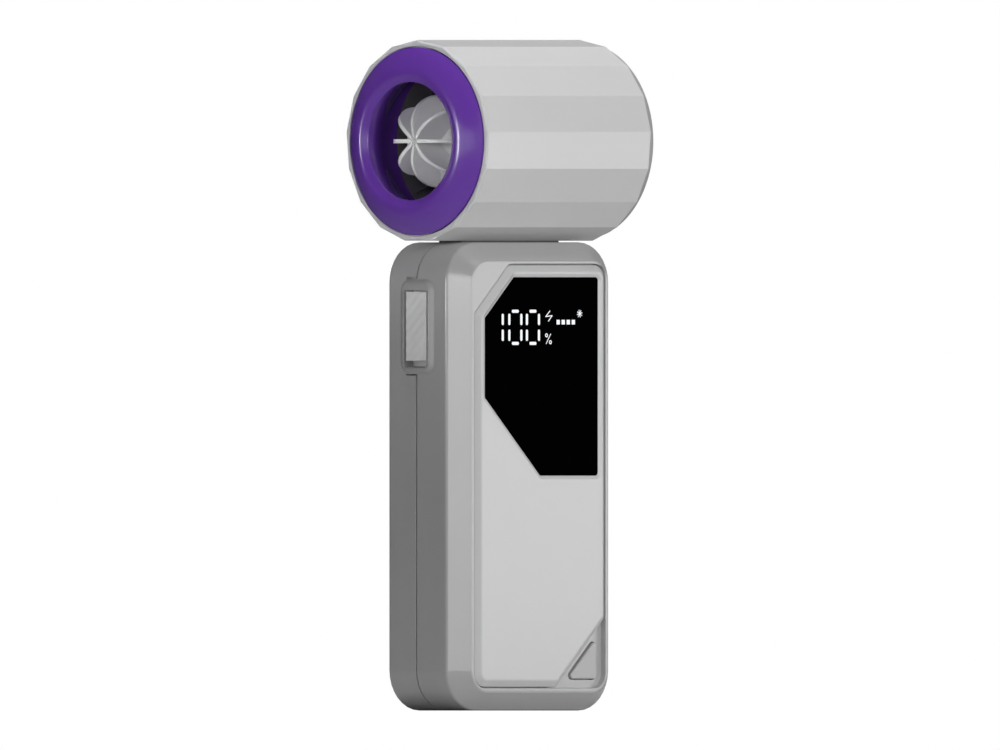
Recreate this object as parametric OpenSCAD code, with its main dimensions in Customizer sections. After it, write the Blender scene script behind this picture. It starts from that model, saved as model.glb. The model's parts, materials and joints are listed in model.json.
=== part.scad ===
// Handheld turbo fan: a flat battery handle with a lit display carries a faceted fan barrel on a short neck.
// Millimetres, +Z up. The origin is the centre of the flat foot.
// The display looks along -Y and the air leaves at -X.

/* [Handle] */
// Width of the handle across the display
body_w = 52; // [48:1:60]
// Depth of the handle from its display side to its back
body_d = 26.4; // [26:0.2:32]
// Height of the handle
body_h = 106.3; // [104.3:1:125.3]
// Radius of the handle's corners seen from the front
body_corner = 9.2; // [8:0.2:10]
// Bevel around the front and rear edges of the handle
body_bevel = 4.1; // [3:0.1:4.5]
// Thickness of the moulded walls
wall = 1.6; // [1.2:0.1:1.8]

/* [Display plate] */
// Width of the sunk panel that the plate lies in
recess_w = 42.2; // [40:0.2:42.4]
// Depth of that sunk panel below the rim
recess_depth = 1.6; // [1.2:0.1:1.8]
// Gap between the plate and the rim
plate_gap = 0.25; // [0.1:0.05:0.5]
// How far the plate's face stands proud of the rim
plate_proud = 0.86; // [0.4:0.02:1.2]
// Bevel of the plate's edge, measured along its face
plate_bevel = 1.45; // [0.6:0.05:2]
// Slope between the plate's face and the display glass, measured along the face
glass_slope = 0.8; // [0.3:0.1:1.2]
// Thickness of the display glass
glass_thickness = 1.2; // [0.8:0.1:1.4]
// Height of a lit digit
digit_h = 8; // [6:0.5:9]

/* [Fan barrel] */
// Flat sides around the barrel
head_sides = 17; // [13:2:21]
// Radius of the barrel at its corners
head_r = 23; // [22.6:0.1:24]
// Length of the barrel
head_len = 52.6; // [48:0.2:60]
// Height of the barrel's axis above the top of the handle
head_lift = 22.95; // [22.95:0.05:40]
// Radius of the nozzle ring
nozzle_r = 21.4; // [21.2:0.05:21.6]
// Radius of the nozzle's throat, where the air leaves
throat_r = 13.4; // [12:0.1:15]
// Radius of the air duct
duct_r = 18.2; // [17.8:0.1:18.4]
// Radius of the fan's hub and of the finned spinner
hub_r = 10.4; // [10.2:0.1:11]
// Fins on the spinner
fins = 8; // [6:2:12]
// Blades on the impeller
blades = 11; // [7:1:13]

/* [Controls] */
// Height of the slide switch's thumb piece
knob_h = 15.7; // [12:0.1:16]
// Travel of the slide switch
knob_travel = 1.4; // [1:0.1:1.4]
// Travel of the mode button
button_travel = 0.4; // [0.2:0.05:0.45]

/* [Hidden] */

$fn = 96;
eps = 0.01;
arc_steps = 6;

SHELL_GREY = [0.68, 0.68, 0.69];
PANEL_GREY = [0.8, 0.8, 0.81];
DARK = [0.08, 0.08, 0.09];
STEEL = [0.72, 0.73, 0.75];
PURPLE = [0.3, 0.16, 0.55];
BOARD_GREEN = [0.05, 0.3, 0.16];

// Planes of the handle, front to back. The two shells part a little behind its middle.
front_y = -body_d / 2;
rear_y = body_d / 2;
seam_front = 0.3;
seam_rear = 0.5;
recess_y = front_y + recess_depth;
face_y = front_y - plate_proud;
front_wall_in = recess_y + 1.2;
rear_wall_in = rear_y - wall;
side_in = body_w / 2 - wall;
cavity_w = body_w - 2 * wall;
cavity_h = body_h - 2 * wall;
front_cavity_bevel = 2.4;
rear_cavity_bevel = 3.2;

// Outlines in the front view, as corners in x and z, anticlockwise.
recess_half = recess_w / 2;
recess_low = 5.1;
recess_top = body_h - 4.9;
recess_cut = 11.2;
recess_corners = [
    [-recess_half, recess_low], [recess_half, recess_low], [recess_half, recess_top],
    [-recess_half + recess_cut, recess_top], [-recess_half, recess_top - recess_cut]
];
recess_radii = [3.4, 3.4, 3.4, 2, 2];

plate_half = recess_half - plate_gap;
plate_low = recess_low + plate_gap;
plate_top = recess_top - plate_gap;
plate_cut = recess_cut - 0.15;
button_cut = 15.5;
plate_corners = [
    [-plate_half, plate_low], [plate_half - button_cut, plate_low], [plate_half, plate_low + button_cut],
    [plate_half, plate_top], [-plate_half + plate_cut, plate_top], [-plate_half, plate_top - plate_cut]
];
plate_radii = [3.15, 2, 2, 3.15, 1.8, 1.8];
plate_bevel_depth = 1.16;

glass_half = plate_half - 2.75;
glass_top = plate_top - 2.8;
glass_low = glass_top - 45;
glass_top_cut = 9.25;
glass_low_cut = 17.7;
glass_corners = [
    [-glass_half + glass_low_cut, glass_low], [glass_half, glass_low], [glass_half, glass_top],
    [-glass_half + glass_top_cut, glass_top], [-glass_half, glass_top - glass_top_cut],
    [-glass_half, glass_low + glass_low_cut]
];
glass_radii = [0.3, 0.8, 0.8, 0.3, 0.3, 0.3];
glass_sunk = 0.4;
glass_y = face_y + glass_sunk;
glass_back_y = glass_y + glass_thickness;
glass_ledge = 1.5;
glass_play = 0.05;

button_corners = [[9.85, 7.2], [19.2, 7.2], [19.2, 16.55]];
button_radii = [0.8, 0.9, 0.8];
button_face_y = recess_y - 0.65;
button_clearance = 0.22;
button_flange = 0.7;
button_flange_t = 0.5;
button_play = 0.2;
button_stem_y = front_wall_in + button_play + button_flange_t + 0.3;
tact_top_y = button_stem_y + button_travel + 0.1;

// The board, and what stands on it.
board_front_y = -8.2;
board_t = 1.2;
board_rear_y = board_front_y + board_t;
board_half = 21.5;
board_low = 2.2;
board_top = 94.4;
board_screw_x = 19.4;
board_screw_z = [32, 66];
board_screw_r = 0.8;
board_boss_r = 1.7;
module_box = [[-13, 74], [15, 91.8]];
tact_at = [16.4, 10.4];
usb_y = -5.4;
usb_w = 8.94;
usb_t = 3.16;
usb_play = 0.22;

// Chips lie on the front of the board: x, z, width, height and thickness of each.
chip_spots = [
    [-6, 44, 7, 7, 0.9], [7, 50, 5, 4, 0.9], [-8, 26, 5, 5, 0.9], [5, 30, 4, 4, 0.9], [12, 38, 3, 6, 1.2]
];

// Lit digits and marks behind the glass.
mark_depth = 0.15;
digit_w = 4.56;
digit_pitch = 5.65;
stroke = 0.7;
digits_low = 83;
digits_left = [-16.58, -10.61, -10.61 + digit_pitch];
// Lit segments of each digit, in the order top, upper right, lower right, bottom, lower left, upper left.
ONE = [0, 1, 1, 0, 0, 0];
ZERO = [1, 1, 1, 1, 1, 1];

// Case screws enter from the back and end in bosses behind the front wall.
case_screw_spots = [[-19, 97.5], [19, 97.5], [-7.4, 7.5], [7.4, 7.5]];
front_boss_r = 2.2;
rear_boss_r = 3;
screw_head_r = 1.9;
screw_head_h = 1.3;
screw_shank_r = 1;
screw_sink = 2.2;
thread_play = 0.03;

// Battery cells stand side by side behind the board.
cell_r = 9.15;
cell_x = 9.4;
cell_y = 2.3;
cell_low = 12.6;
cell_top = 77.2;
holder_low = 10.6;
holder_top = 79.4;

// Slide switch on the -X side.
collar_w = 10.8;
collar_low = 76.2;
collar_top = 98.2;
collar_rise = 0.9;
collar_slope = 0.75;
collar_corner = 2.6;
window_w = 7.7;
window_low = 77.9;
window_top = 95.35;
knob_w = 6.5;
knob_top = 95.1;
knob_face_x = -body_w / 2 - 0.7;
knob_flange_x = -23.4;
knob_flange_t = 0.8;
knob_pin_z = 88.2;
knob_pin_half = 0.8;

// Neck between the handle and the barrel.
head_z = body_h + head_lift;
barrel_flat_z = head_z - head_r * cos(180 / head_sides);
neck_w = 31;
neck_d = 7.4;
neck_flange_w = 36;
neck_flange_d = 12;
neck_flange_t = 2;
neck_screw_x = 11;
neck_head_z = barrel_flat_z + 1.55;
lead_x = [5.4, 7.2];
lead_r = 0.55;
lead_slot = [4.4, 8.2];
lead_slot_w = 2;
lead_turn_z = 90.5;

// Stations along the barrel's axis; the nozzle is at the negative end.
head_front = -head_len / 2;
head_rear = head_len / 2;
head_bore_r = 21;
ring_seat_r = nozzle_r + 0.2;
ring_seat_x = head_front + 1.4;
ring_edge_x = head_front - 0.45;
ring_crest_x = ring_edge_x - 2.85;
ring_crest_r = 15.4;
throat_x = ring_crest_x + 1.15;
duct_front = -14.5;
duct_back = 20;
sleeve_r = duct_r + 1.2;
spinner_tip_x = -27.1;
spinner_crest_x = -27.65;
spinner_crest_r = 4.3;
spinner_base_x = -19;
hub_front = -17.6;
hub_back = -1;
hub_wall = 1.1;
blade_x = -8.8;
blade_span = 9;
blade_tip_r = duct_r - 0.4;
can_front = hub_front + 1.4;
can_back = -2;
can_r = hub_r - hub_wall - 0.05;
can_wall = 0.65;
magnet_x = [-13.5, -3.5];
magnet_inner_r = can_r - can_wall - 0.85;
core_x = [-12, -4.5];
core_r = magnet_inner_r - 0.45;
core_bore_r = 3.2;
teeth = 9;
shaft_r = 1;
shaft_play = 0.03;
bearing_r = 2.5;
bearing_len = 2.5;
front_bearing_x = -13.8;
rear_bearing_x = -3;
pod_front = -0.5;
pod_floor = 1;
pod_back = 14;
pod_wall = 1.2;
vane_t = 1;
vane_back = 13;
grille_back = head_rear + 1.35;
grille_r = 22.2;
grille_screw_r = 20.1;
grille_screw_angles = [30, 150, 270];
grille_screw_sink = 0.7;
grille_shank_r = 0.68;
grille_head_r = 1.2;

// ---------- vectors and outlines ----------

function unit(v) = v / norm(v);
function inward(a, b) = let (d = unit(b - a)) [-d[1], d[0]];
// Direction in which corner i of an outline moves when each side moves inwards by one.
function corner_step(pts, i) =
    let (
        n = len(pts),
        before = inward(pts[(i + n - 1) % n], pts[i]),
        after = inward(pts[i], pts[(i + 1) % n])
    ) (before + after) / (1 + before * after);
function inset(pts, d) = [for (i = [0:len(pts) - 1]) pts[i] + d * corner_step(pts, i)];
function shrunk(radii, d) = [for (r = radii) max(0.1, r - d)];
// Points of a quarter ellipse around a centre, from the end of its first half-axis to that of its second.
function quarter(centre, first, second, steps) =
    [for (i = [0:steps]) centre + first * cos(90 * i / steps) + second * sin(90 * i / steps)];
function mirrored(pts) = [for (i = [len(pts) - 1:-1:0]) [-pts[i][0], pts[i][1]]];

// Convex outline, anticlockwise, with every corner rounded by its own radius.
module rounded_outline(pts, radii) {
    n = len(pts);
    polygon([
        for (i = [0:n - 1])
            let (
                before = inward(pts[(i + n - 1) % n], pts[i]),
                after = inward(pts[i], pts[(i + 1) % n]),
                start = atan2(-before[1], -before[0]),
                turn = acos(before * after),
                centre = pts[i] + radii[i] * corner_step(pts, i)
            )
            for (k = [0:arc_steps])
                let (a = start + turn * k / arc_steps) centre + radii[i] * [cos(a), sin(a)]
    ]);
}

module rounded_rect(w, h, r) {
    square([w - 2 * r, h], center = true);
    square([w, h - 2 * r], center = true);
    for (sx = [-1, 1], sy = [-1, 1])
        translate([sx * (w / 2 - r), sy * (h / 2 - r)])
            circle(r);
}

// A flat outline in x and z, thickened from the plane y = back towards the front.
module slab(back, thickness) {
    translate([0, back, 0])
        rotate([90, 0, 0])
            linear_extrude(thickness)
                children();
}

// Rounded block standing on z = 0, with a bevel around its far end at y = back - depth.
module bevelled_block(w, h, corner, bevel, back, depth) {
    inner_w = w / 2 - corner;
    inner_h = h / 2 - corner;
    translate([0, back, h / 2])
        rotate([90, 0, 0]) {
            linear_extrude(depth - bevel)
                rounded_rect(w, h, corner);
            translate([0, 0, depth - bevel]) {
                for (sx = [-1, 1], sy = [-1, 1])
                    translate([sx * inner_w, sy * inner_h, 0])
                        cylinder(h = bevel, r1 = corner, r2 = corner - bevel);
                translate([0, inner_h, 0])
                    rotate([90, 0, 0])
                        linear_extrude(2 * inner_h)
                            bevel_profile(w / 2, bevel);
                translate([-inner_w, 0, 0])
                    rotate([90, 0, 90])
                        linear_extrude(2 * inner_w)
                            bevel_profile(h / 2, bevel);
            }
        }
}

module bevel_profile(half, bevel) {
    polygon([[-half, 0], [half, 0], [half - bevel, bevel], [-half + bevel, bevel]]);
}

// Outline from the plane y = back, straight as far as y = shoulder, then sloped inwards to y = front.
module sloped_slab(pts, radii, back, shoulder, front, inset_by) {
    hull() {
        slab(back, eps)
            rounded_outline(pts, radii);
        slab(shoulder, eps)
            rounded_outline(pts, radii);
        slab(front + eps, eps)
            rounded_outline(inset(pts, inset_by), shrunk(radii, inset_by));
    }
}

// Turns a piece drawn around z so that it lies on the barrel's axis, with its z towards the back.
module on_axis(x = 0) {
    translate([x, 0, head_z])
        rotate([0, 90, 0])
            children();
}

module tube(outer, inner, length) {
    difference() {
        cylinder(h = length, r = outer);
        translate([0, 0, -1])
            cylinder(h = length + 2, r = inner);
    }
}

// Screw along +z with its head's underside at z = 0 and a cross slot in the head.
module screw(head_r, head_h, shank_r, length) {
    slot_w = head_r * 0.3;
    difference() {
        translate([0, 0, -head_h])
            cylinder(h = head_h, r = head_r, $fn = 32);
        for (a = [0, 90])
            rotate([0, 0, a])
                translate([-head_r * 0.7, -slot_w / 2, -head_h - eps])
                    cube([head_r * 1.4, slot_w, head_h / 2]);
    }
    translate([0, 0, -eps])
        cylinder(h = length + eps, r = shank_r, $fn = 32);
}

module box(low, high) {
    translate(low)
        cube(high - low);
}

// ---------- handle ----------

module front_shell() {
    color(SHELL_GREY)
    difference() {
        union() {
            difference() {
                bevelled_block(body_w, body_h, body_corner, body_bevel, seam_front, seam_front - front_y);
                translate([0, 0, wall])
                    bevelled_block(cavity_w, cavity_h, body_corner - wall, front_cavity_bevel,
                        seam_front + eps, seam_front + eps - front_wall_in);
            }
            for (spot = case_screw_spots)
                translate([spot[0], seam_front, spot[1]])
                    rotate([90, 0, 0])
                        cylinder(h = seam_front - front_wall_in, r = front_boss_r);
            for (sx = [-1, 1], z = board_screw_z)
                translate([sx * board_screw_x, board_front_y, z])
                    rotate([90, 0, 0])
                        cylinder(h = board_front_y - front_wall_in, r = board_boss_r);
            neck_rests(front_wall_in - eps, -1);
        }
        slab(recess_y, recess_depth + 1)
            rounded_outline(recess_corners, recess_radii);
        display_window();
        slab(front_wall_in + 1, 3)
            rounded_outline(
                inset(button_corners, -button_clearance), shrunk(button_radii, -button_clearance));
        for (spot = case_screw_spots)
            translate([spot[0], seam_front + 1, spot[1]])
                rotate([90, 0, 0])
                    cylinder(h = 9, r = screw_shank_r + thread_play, $fn = 32);
        for (sx = [-1, 1], z = board_screw_z)
            translate([sx * board_screw_x, board_front_y + 1, z])
                rotate([90, 0, 0])
                    cylinder(h = 3, r = board_screw_r + thread_play, $fn = 32);
        translate([0, usb_y, -1])
            linear_extrude(wall + 2)
                rounded_rect(usb_w + 2 * usb_play, usb_t + 2 * usb_play, usb_t / 2);
        neck_opening();
        switch_opening();
    }
}

module rear_shell() {
    lip_depth = 1.6;
    lip_play = 0.1;
    lip_t = 0.8;
    lip_gap_y = 8;
    neck_gap_x = neck_flange_w / 2 + 0.3;
    neck_gap_low = body_h - 5;
    color(SHELL_GREY * 0.97)
    difference() {
        union() {
            difference() {
                mirror([0, 1, 0])
                    bevelled_block(body_w, body_h, body_corner, body_bevel, -seam_rear, rear_y - seam_rear);
                translate([0, 0, wall])
                    mirror([0, 1, 0])
                        bevelled_block(cavity_w, cavity_h, body_corner - wall, rear_cavity_bevel,
                            -seam_rear + eps, rear_wall_in - seam_rear + eps);
            }
            // Tongue that laps the front shell's wall and closes the seam from inside
            difference() {
                union() {
                    seam_ring(seam_rear + lip_depth, lip_depth + eps, 0.1, lip_t);
                    seam_ring(seam_rear, lip_depth, -lip_play, lip_t);
                }
                box([-side_in - 1, -lip_gap_y, collar_low - 1], [-side_in + 3, lip_gap_y, collar_top + 1]);
                box([-neck_gap_x, -lip_gap_y, neck_gap_low], [neck_gap_x, lip_gap_y, body_h]);
            }
            for (spot = case_screw_spots)
                translate([spot[0], rear_wall_in + eps, spot[1]])
                    rotate([90, 0, 0])
                        cylinder(h = rear_wall_in - seam_rear, r = rear_boss_r);
            neck_rests(1, rear_wall_in + eps);
        }
        for (spot = case_screw_spots)
            translate([spot[0], rear_y + 1, spot[1]])
                rotate([90, 0, 0]) {
                    cylinder(h = 1 + screw_sink, r = screw_head_r + 0.3);
                    cylinder(h = body_d / 2 + 1, r = screw_shank_r + 0.2);
                }
        neck_opening();
        switch_opening();
    }
}

// Ring along the inside of the side walls; grow is how far it reaches into them, or stays clear of them.
module seam_ring(back, depth, grow, thickness) {
    corner = body_corner - wall;
    translate([0, 0, body_h / 2])
        slab(back, depth)
            difference() {
                rounded_rect(cavity_w + 2 * grow, cavity_h + 2 * grow, corner + grow);
                rounded_rect(cavity_w - 2 * thickness, cavity_h - 2 * thickness, corner - thickness);
            }
}

// Ledges under the neck's flange.
module neck_rests(y_low, y_high) {
    rest_x = 15;
    rest_half = 1.5;
    rest_top = body_h - wall - neck_flange_t - 0.1;
    for (sx = [-1, 1])
        box([sx * rest_x - rest_half, y_low, rest_top - 1.5], [sx * rest_x + rest_half, y_high, rest_top]);
}

module neck_opening() {
    half_w = neck_w / 2 + 0.1;
    half_d = neck_d / 2 + 0.1;
    box([-half_w, -half_d, body_h - wall - 1], [half_w, half_d, body_h + 1]);
}

module switch_opening() {
    half = collar_w / 2 - 0.75;
    box([-body_w / 2 - 1, -half, collar_low + 0.8], [-side_in + 1, half, collar_top - 0.8]);
}

module display_window() {
    play = 0.3;
    slab(front_wall_in + 1, 4)
        translate([module_box[0][0] - play, module_box[0][1] - play])
            square(module_box[1] - module_box[0] + [2 * play, 2 * play]);
}

module front_plate() {
    color(PANEL_GREY)
    difference() {
        sloped_slab(plate_corners, plate_radii, recess_y, face_y + plate_bevel_depth, face_y, plate_bevel);
        // Sloped edge around the window, drawn from the front inwards
        hull() {
            slab(face_y - eps, 1)
                rounded_outline(inset(glass_corners, -glass_slope), shrunk(glass_radii, -glass_slope));
            slab(glass_y + eps, eps)
                rounded_outline(inset(glass_corners, -2 * glass_play), shrunk(glass_radii, -2 * glass_play));
        }
        slab(glass_back_y, 2 * glass_thickness)
            rounded_outline(inset(glass_corners, -glass_play), shrunk(glass_radii, -glass_play));
        slab(recess_y + 1, 3)
            rounded_outline(inset(glass_corners, glass_ledge), glass_radii);
    }
}

module display_glass() {
    color(DARK)
    difference() {
        slab(glass_back_y, glass_thickness)
            rounded_outline(glass_corners, glass_radii);
        display_marks(glass_y - 1, 1 + mark_depth);
    }
}

module display_segments() {
    color("white")
        display_marks(glass_y, mark_depth);
}

// Everything that lights up, cut or filled from the plane y = front back over a depth.
module display_marks(front, depth) {
    translate([0, front + depth, 0])
        rotate([90, 0, 0])
            linear_extrude(depth) {
                digit(digits_left[0], ONE);
                digit(digits_left[1], ZERO);
                digit(digits_left[2], ZERO);
                charge_mark([2.45, 89.6], 2.6);
                percent_mark([2.3, 84.4], 2.6);
                level_bars([4.9, 87.65], 4);
                fan_mark([12.3, 90.1], 0.95);
            }
}

module bar(from, to, w) {
    along = to - from;
    translate(from)
        rotate(atan2(along[1], along[0]))
            translate([0, -w / 2])
                square([norm(along), w]);
}

module stadium(from, to, w) {
    bar(from, to, w);
    for (end = [from, to])
        translate(end)
            circle(w / 2, $fn = 24);
}

module digit(left, lit) {
    x0 = left + stroke / 2;
    x1 = left + digit_w - stroke / 2;
    z0 = digits_low + stroke / 2;
    z1 = digits_low + digit_h / 2;
    z2 = digits_low + digit_h - stroke / 2;
    end_gap = 0.8;
    side_gap = 0.9;
    mid_gap = 0.85;
    ends = [
        [[x0 + end_gap + stroke / 2, z2], [x1 - end_gap - stroke / 2, z2]],
        [[x1, z1 + mid_gap], [x1, z2 - side_gap]],
        [[x1, z0 + side_gap], [x1, z1 - mid_gap]],
        [[x0 + end_gap + stroke / 2, z0], [x1 - end_gap - stroke / 2, z0]],
        [[x0, z0 + side_gap], [x0, z1 - mid_gap]],
        [[x0, z1 + mid_gap], [x0, z2 - side_gap]]
    ];
    for (i = [0:5])
        if (lit[i] == 1)
            stadium(ends[i][0], ends[i][1], stroke);
}

module charge_mark(at, h) {
    bolt = h * [[0.12, 0.42], [-0.4, -0.06], [0.4, 0.02], [-0.06, -0.46]];
    translate(at)
        for (i = [0:2])
            stadium(bolt[i], bolt[i + 1], 0.22);
}

module percent_mark(at, h) {
    translate(at) {
        stadium(h * [-0.28, -0.42], h * [0.28, 0.42], 0.2);
        for (s = [-1, 1])
            translate(h * [s * 0.24, -s * 0.3])
                difference() {
                    circle(0.46, $fn = 24);
                    circle(0.22, $fn = 24);
                }
    }
}

module level_bars(at, count) {
    for (i = [0:count - 1])
        translate(at + [i * 1.62, 0])
            square([1.05, 1.05]);
}

module fan_mark(at, r) {
    translate(at)
        for (a = [0:45:135])
            rotate(a + 15)
                stadium([-r * 0.85, 0], [r * 0.85, 0], 0.2);
}

module display_module() {
    front = glass_back_y + 0.1;
    color([0.9, 0.9, 0.88])
    slab(board_front_y - eps, board_front_y - eps - front)
        translate(module_box[0])
            square(module_box[1] - module_box[0]);
}

module mode_button() {
    flange_y = front_wall_in + button_play;
    color(PANEL_GREY * 0.98)
    union() {
        slab(flange_y + eps, flange_y + eps - button_face_y)
            rounded_outline(button_corners, button_radii);
        slab(flange_y + button_flange_t, button_flange_t)
            rounded_outline(inset(button_corners, -button_flange), shrunk(button_radii, -button_flange));
        translate([tact_at[0], button_stem_y, tact_at[1]])
            rotate([90, 0, 0])
                cylinder(h = button_stem_y - flange_y - button_flange_t + eps, r = 0.9, $fn = 32);
    }
}

module tact_switch() {
    size = 4;
    body_t = 0.55;
    color(STEEL)
    translate([tact_at[0], board_front_y - eps, tact_at[1]])
        rotate([90, 0, 0]) {
            translate([-size / 2, -size / 2, 0])
                cube([size, size, body_t]);
            cylinder(h = board_front_y - tact_top_y, r = 1, $fn = 32);
        }
}

module switch_collar() {
    outer = -body_w / 2;
    sleeve_half = collar_w / 2 - 0.85;
    rail_y = 5.45;
    rail_half = 0.45;
    rail_z = [82, 92.4];
    flange_half = 5.9;
    flange_x = [-side_in + 0.25, -side_in + 0.8];
    mid = (collar_low + collar_top) / 2;
    height = collar_top - collar_low;
    color(SHELL_GREY * 0.9)
    difference() {
        union() {
            hull() {
                collar_layer(outer, mid, collar_w, height, collar_corner);
                collar_layer(outer - collar_rise + eps, mid, collar_w - 2 * collar_slope,
                    height - 2 * collar_slope, collar_corner - collar_slope);
            }
            box([outer - eps, -sleeve_half, collar_low + 0.9],
                [flange_x[0] + eps, sleeve_half, collar_top - 0.9]);
            box([flange_x[0], -flange_half, collar_low - 0.4], [flange_x[1], flange_half, collar_top + 0.4]);
            for (y = [-rail_y, rail_y])
                box([flange_x[0], y - rail_half, rail_z[0]], [-18.6, y + rail_half, rail_z[1]]);
        }
        box([outer - 2, -window_w / 2, window_low], [-side_in + 2, window_w / 2, window_top]);
    }
}

// Thin rounded rectangle in the plane of the handle's side.
module collar_layer(x, z, w, h, r) {
    translate([x, 0, z])
        rotate([90, 0, -90])
            linear_extrude(eps)
                rounded_rect(w, h, r, $fn = 32);
}

module switch_knob() {
    outer = knob_face_x;
    low = knob_top - knob_h;
    cap_back_x = -25;
    stem_half = knob_w / 2 - 0.25;
    flange_half = 4.4;
    groove_pitch = 1.85;
    groove = 0.3;
    color([0.8, 0.8, 0.82])
    difference() {
        union() {
            box([outer, -knob_w / 2, low], [cap_back_x, knob_w / 2, knob_top]);
            box([cap_back_x - eps, -stem_half, low + 0.3], [knob_flange_x + eps, stem_half, knob_top - 0.3]);
            box([knob_flange_x, -flange_half, low - 0.9],
                [knob_flange_x + knob_flange_t, flange_half, knob_top + 0.9]);
            box([knob_flange_x, -0.9, knob_pin_z - knob_pin_half], [-20.2, 0.9, knob_pin_z + knob_pin_half]);
        }
        // Thumb grooves across the face, rising towards the front
        for (i = [-6:6])
            translate([outer, 0, (low + knob_top) / 2 + i * groove_pitch * sqrt(2)])
                rotate([45, 0, 0])
                    rotate([0, 0, 45])
                        cube([groove, groove, 14], center = true);
    }
}

module switch_body() {
    slot_reach = knob_pin_half + 0.4;
    color(DARK)
    difference() {
        box([-21.9, -4.9, 82.2], [-18.8, 4.9, 92.2]);
        box([-23, -1.2, knob_pin_z - knob_travel - slot_reach], [-19.8, 1.2, knob_pin_z + slot_reach]);
    }
}

module neck_block() {
    flange_top = body_h - wall - 0.1;
    color(SHELL_GREY * 0.8)
    difference() {
        union() {
            box([-neck_w / 2, -neck_d / 2, flange_top - eps], [neck_w / 2, neck_d / 2, barrel_flat_z]);
            box([-neck_flange_w / 2, -neck_flange_d / 2, flange_top - neck_flange_t + 0.1],
                [neck_flange_w / 2, neck_flange_d / 2, flange_top]);
        }
        lead_passage(body_h - 10, barrel_flat_z + 1);
        for (sx = [-1, 1])
            translate([sx * neck_screw_x, 0, body_h - 10])
                cylinder(h = 20, r = screw_shank_r + thread_play, $fn = 32);
    }
}

module lead_passage(z_low, z_high) {
    box([lead_slot[0], -lead_slot_w / 2, z_low], [lead_slot[1], lead_slot_w / 2, z_high]);
}

module neck_screws() {
    color(STEEL)
    for (sx = [-1, 1])
        translate([sx * neck_screw_x, 0, neck_head_z])
            rotate([180, 0, 0])
                screw(screw_head_r, 0.9, screw_shank_r, 5);
}

module case_screws() {
    head_y = rear_y - screw_sink;
    color(STEEL)
    for (spot = case_screw_spots)
        translate([spot[0], head_y, spot[1]])
            rotate([90, 0, 0])
                screw(screw_head_r, screw_head_h, screw_shank_r, head_y + 6.5);
}

module main_board() {
    hole_r = front_boss_r + 0.25;
    color(BOARD_GREEN)
    slab(board_rear_y, board_t)
        difference() {
            translate([0, (board_low + board_top) / 2])
                rounded_rect(2 * board_half, board_top - board_low, 4.5);
            for (spot = [case_screw_spots[2], case_screw_spots[3]])
                translate(spot)
                    circle(hole_r);
            for (sx = [-1, 1], z = board_screw_z)
                translate([sx * board_screw_x, z])
                    circle(board_screw_r + 0.15);
        }
}

module board_screws() {
    color(STEEL)
    for (sx = [-1, 1], z = board_screw_z)
        translate([sx * board_screw_x, board_rear_y + eps, z])
            rotate([90, 0, 0])
                screw(2 * board_screw_r, board_screw_r, board_screw_r, 3.1);
}

module controller_chips() {
    color(DARK)
    for (c = chip_spots)
        translate([c[0] - c[2] / 2, board_front_y - c[4] - eps, c[1] - c[3] / 2])
            cube([c[2], c[4], c[3]]);
}

module power_inductor() {
    base_w = 6.8;
    color([0.25, 0.25, 0.27])
    translate([-3, board_rear_y + eps, 86])
        rotate([-90, 0, 0]) {
            translate([-base_w / 2, -base_w / 2, 0])
                cube([base_w, base_w, 0.8]);
            cylinder(h = 3.4, r = base_w / 2 - 0.2);
        }
}

module usb_shell() {
    metal = 0.3;
    mouth_z = 0.4;
    depth = 7.2;
    color(STEEL)
    translate([0, usb_y, mouth_z])
        difference() {
            linear_extrude(depth)
                rounded_rect(usb_w, usb_t, usb_t / 2 - 0.1);
            translate([0, 0, -1])
                linear_extrude(depth + 1 - 2 * metal)
                    rounded_rect(usb_w - 2 * metal, usb_t - 2 * metal, usb_t / 2 - metal - 0.1);
        }
}

module usb_tongue() {
    tongue = [6.7, 0.7, 5.95];
    color(DARK)
    translate([-tongue[0] / 2, usb_y - tongue[1] / 2, 1])
        cube(tongue);
}

// ---------- battery ----------

module at_cells() {
    for (sx = [-1, 1])
        translate([sx * cell_x, cell_y, 0])
            children();
}

module battery_cells() {
    color([0.2, 0.45, 0.7])
    at_cells() {
        translate([0, 0, cell_low])
            cylinder(h = cell_top - cell_low - 0.5, r = cell_r);
        translate([0, 0, cell_top - 0.6])
            cylinder(h = 0.6, r = 2.8, $fn = 48);
    }
}

module cell_holder() {
    half = 19.7;
    y0 = board_rear_y + 0.15;
    y1 = rear_wall_in - 0.1;
    rim = 6;
    rib_half = 1.2;
    color([0.15, 0.15, 0.16])
    difference() {
        union() {
            box([-half, y0, holder_low], [half, y1, holder_low + rim]);
            box([-half, y0, holder_top - rim], [half, y1, holder_top]);
            box([-rib_half, cell_y + 4.6, holder_low], [rib_half, y1, holder_top]);
        }
        at_cells()
            translate([0, 0, cell_low - 0.1])
                cylinder(h = cell_top - cell_low + 0.2, r = cell_r + 0.08);
        for (z = [cell_low - 0.6, cell_top - 0.1])
            box([-cell_x - 4, cell_y - 3.2, z], [cell_x + 4, cell_y + 3.2, z + 0.7]);
        at_cells()
            cylinder(h = body_h, r = 1, $fn = 32);
    }
}

module nickel_strips() {
    color(STEEL)
    for (z = [cell_low - 0.35, cell_top + 0.1])
        box([-cell_x - 3.5, cell_y - 3, z], [cell_x + 3.5, cell_y + 3, z + 0.2]);
}

// Insulated wire that rises to a bend and then runs straight to the back of the board.
module bent_lead(x, y, z_from, z_bend, r) {
    translate([x, y, min(z_from, z_bend)])
        cylinder(h = abs(z_bend - z_from), r = r, $fn = 24);
    translate([x, y, z_bend])
        sphere(r, $fn = 24);
    translate([x, y, z_bend])
        rotate([90, 0, 0])
            cylinder(h = y - board_rear_y - eps, r = r, $fn = 24);
}

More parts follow.
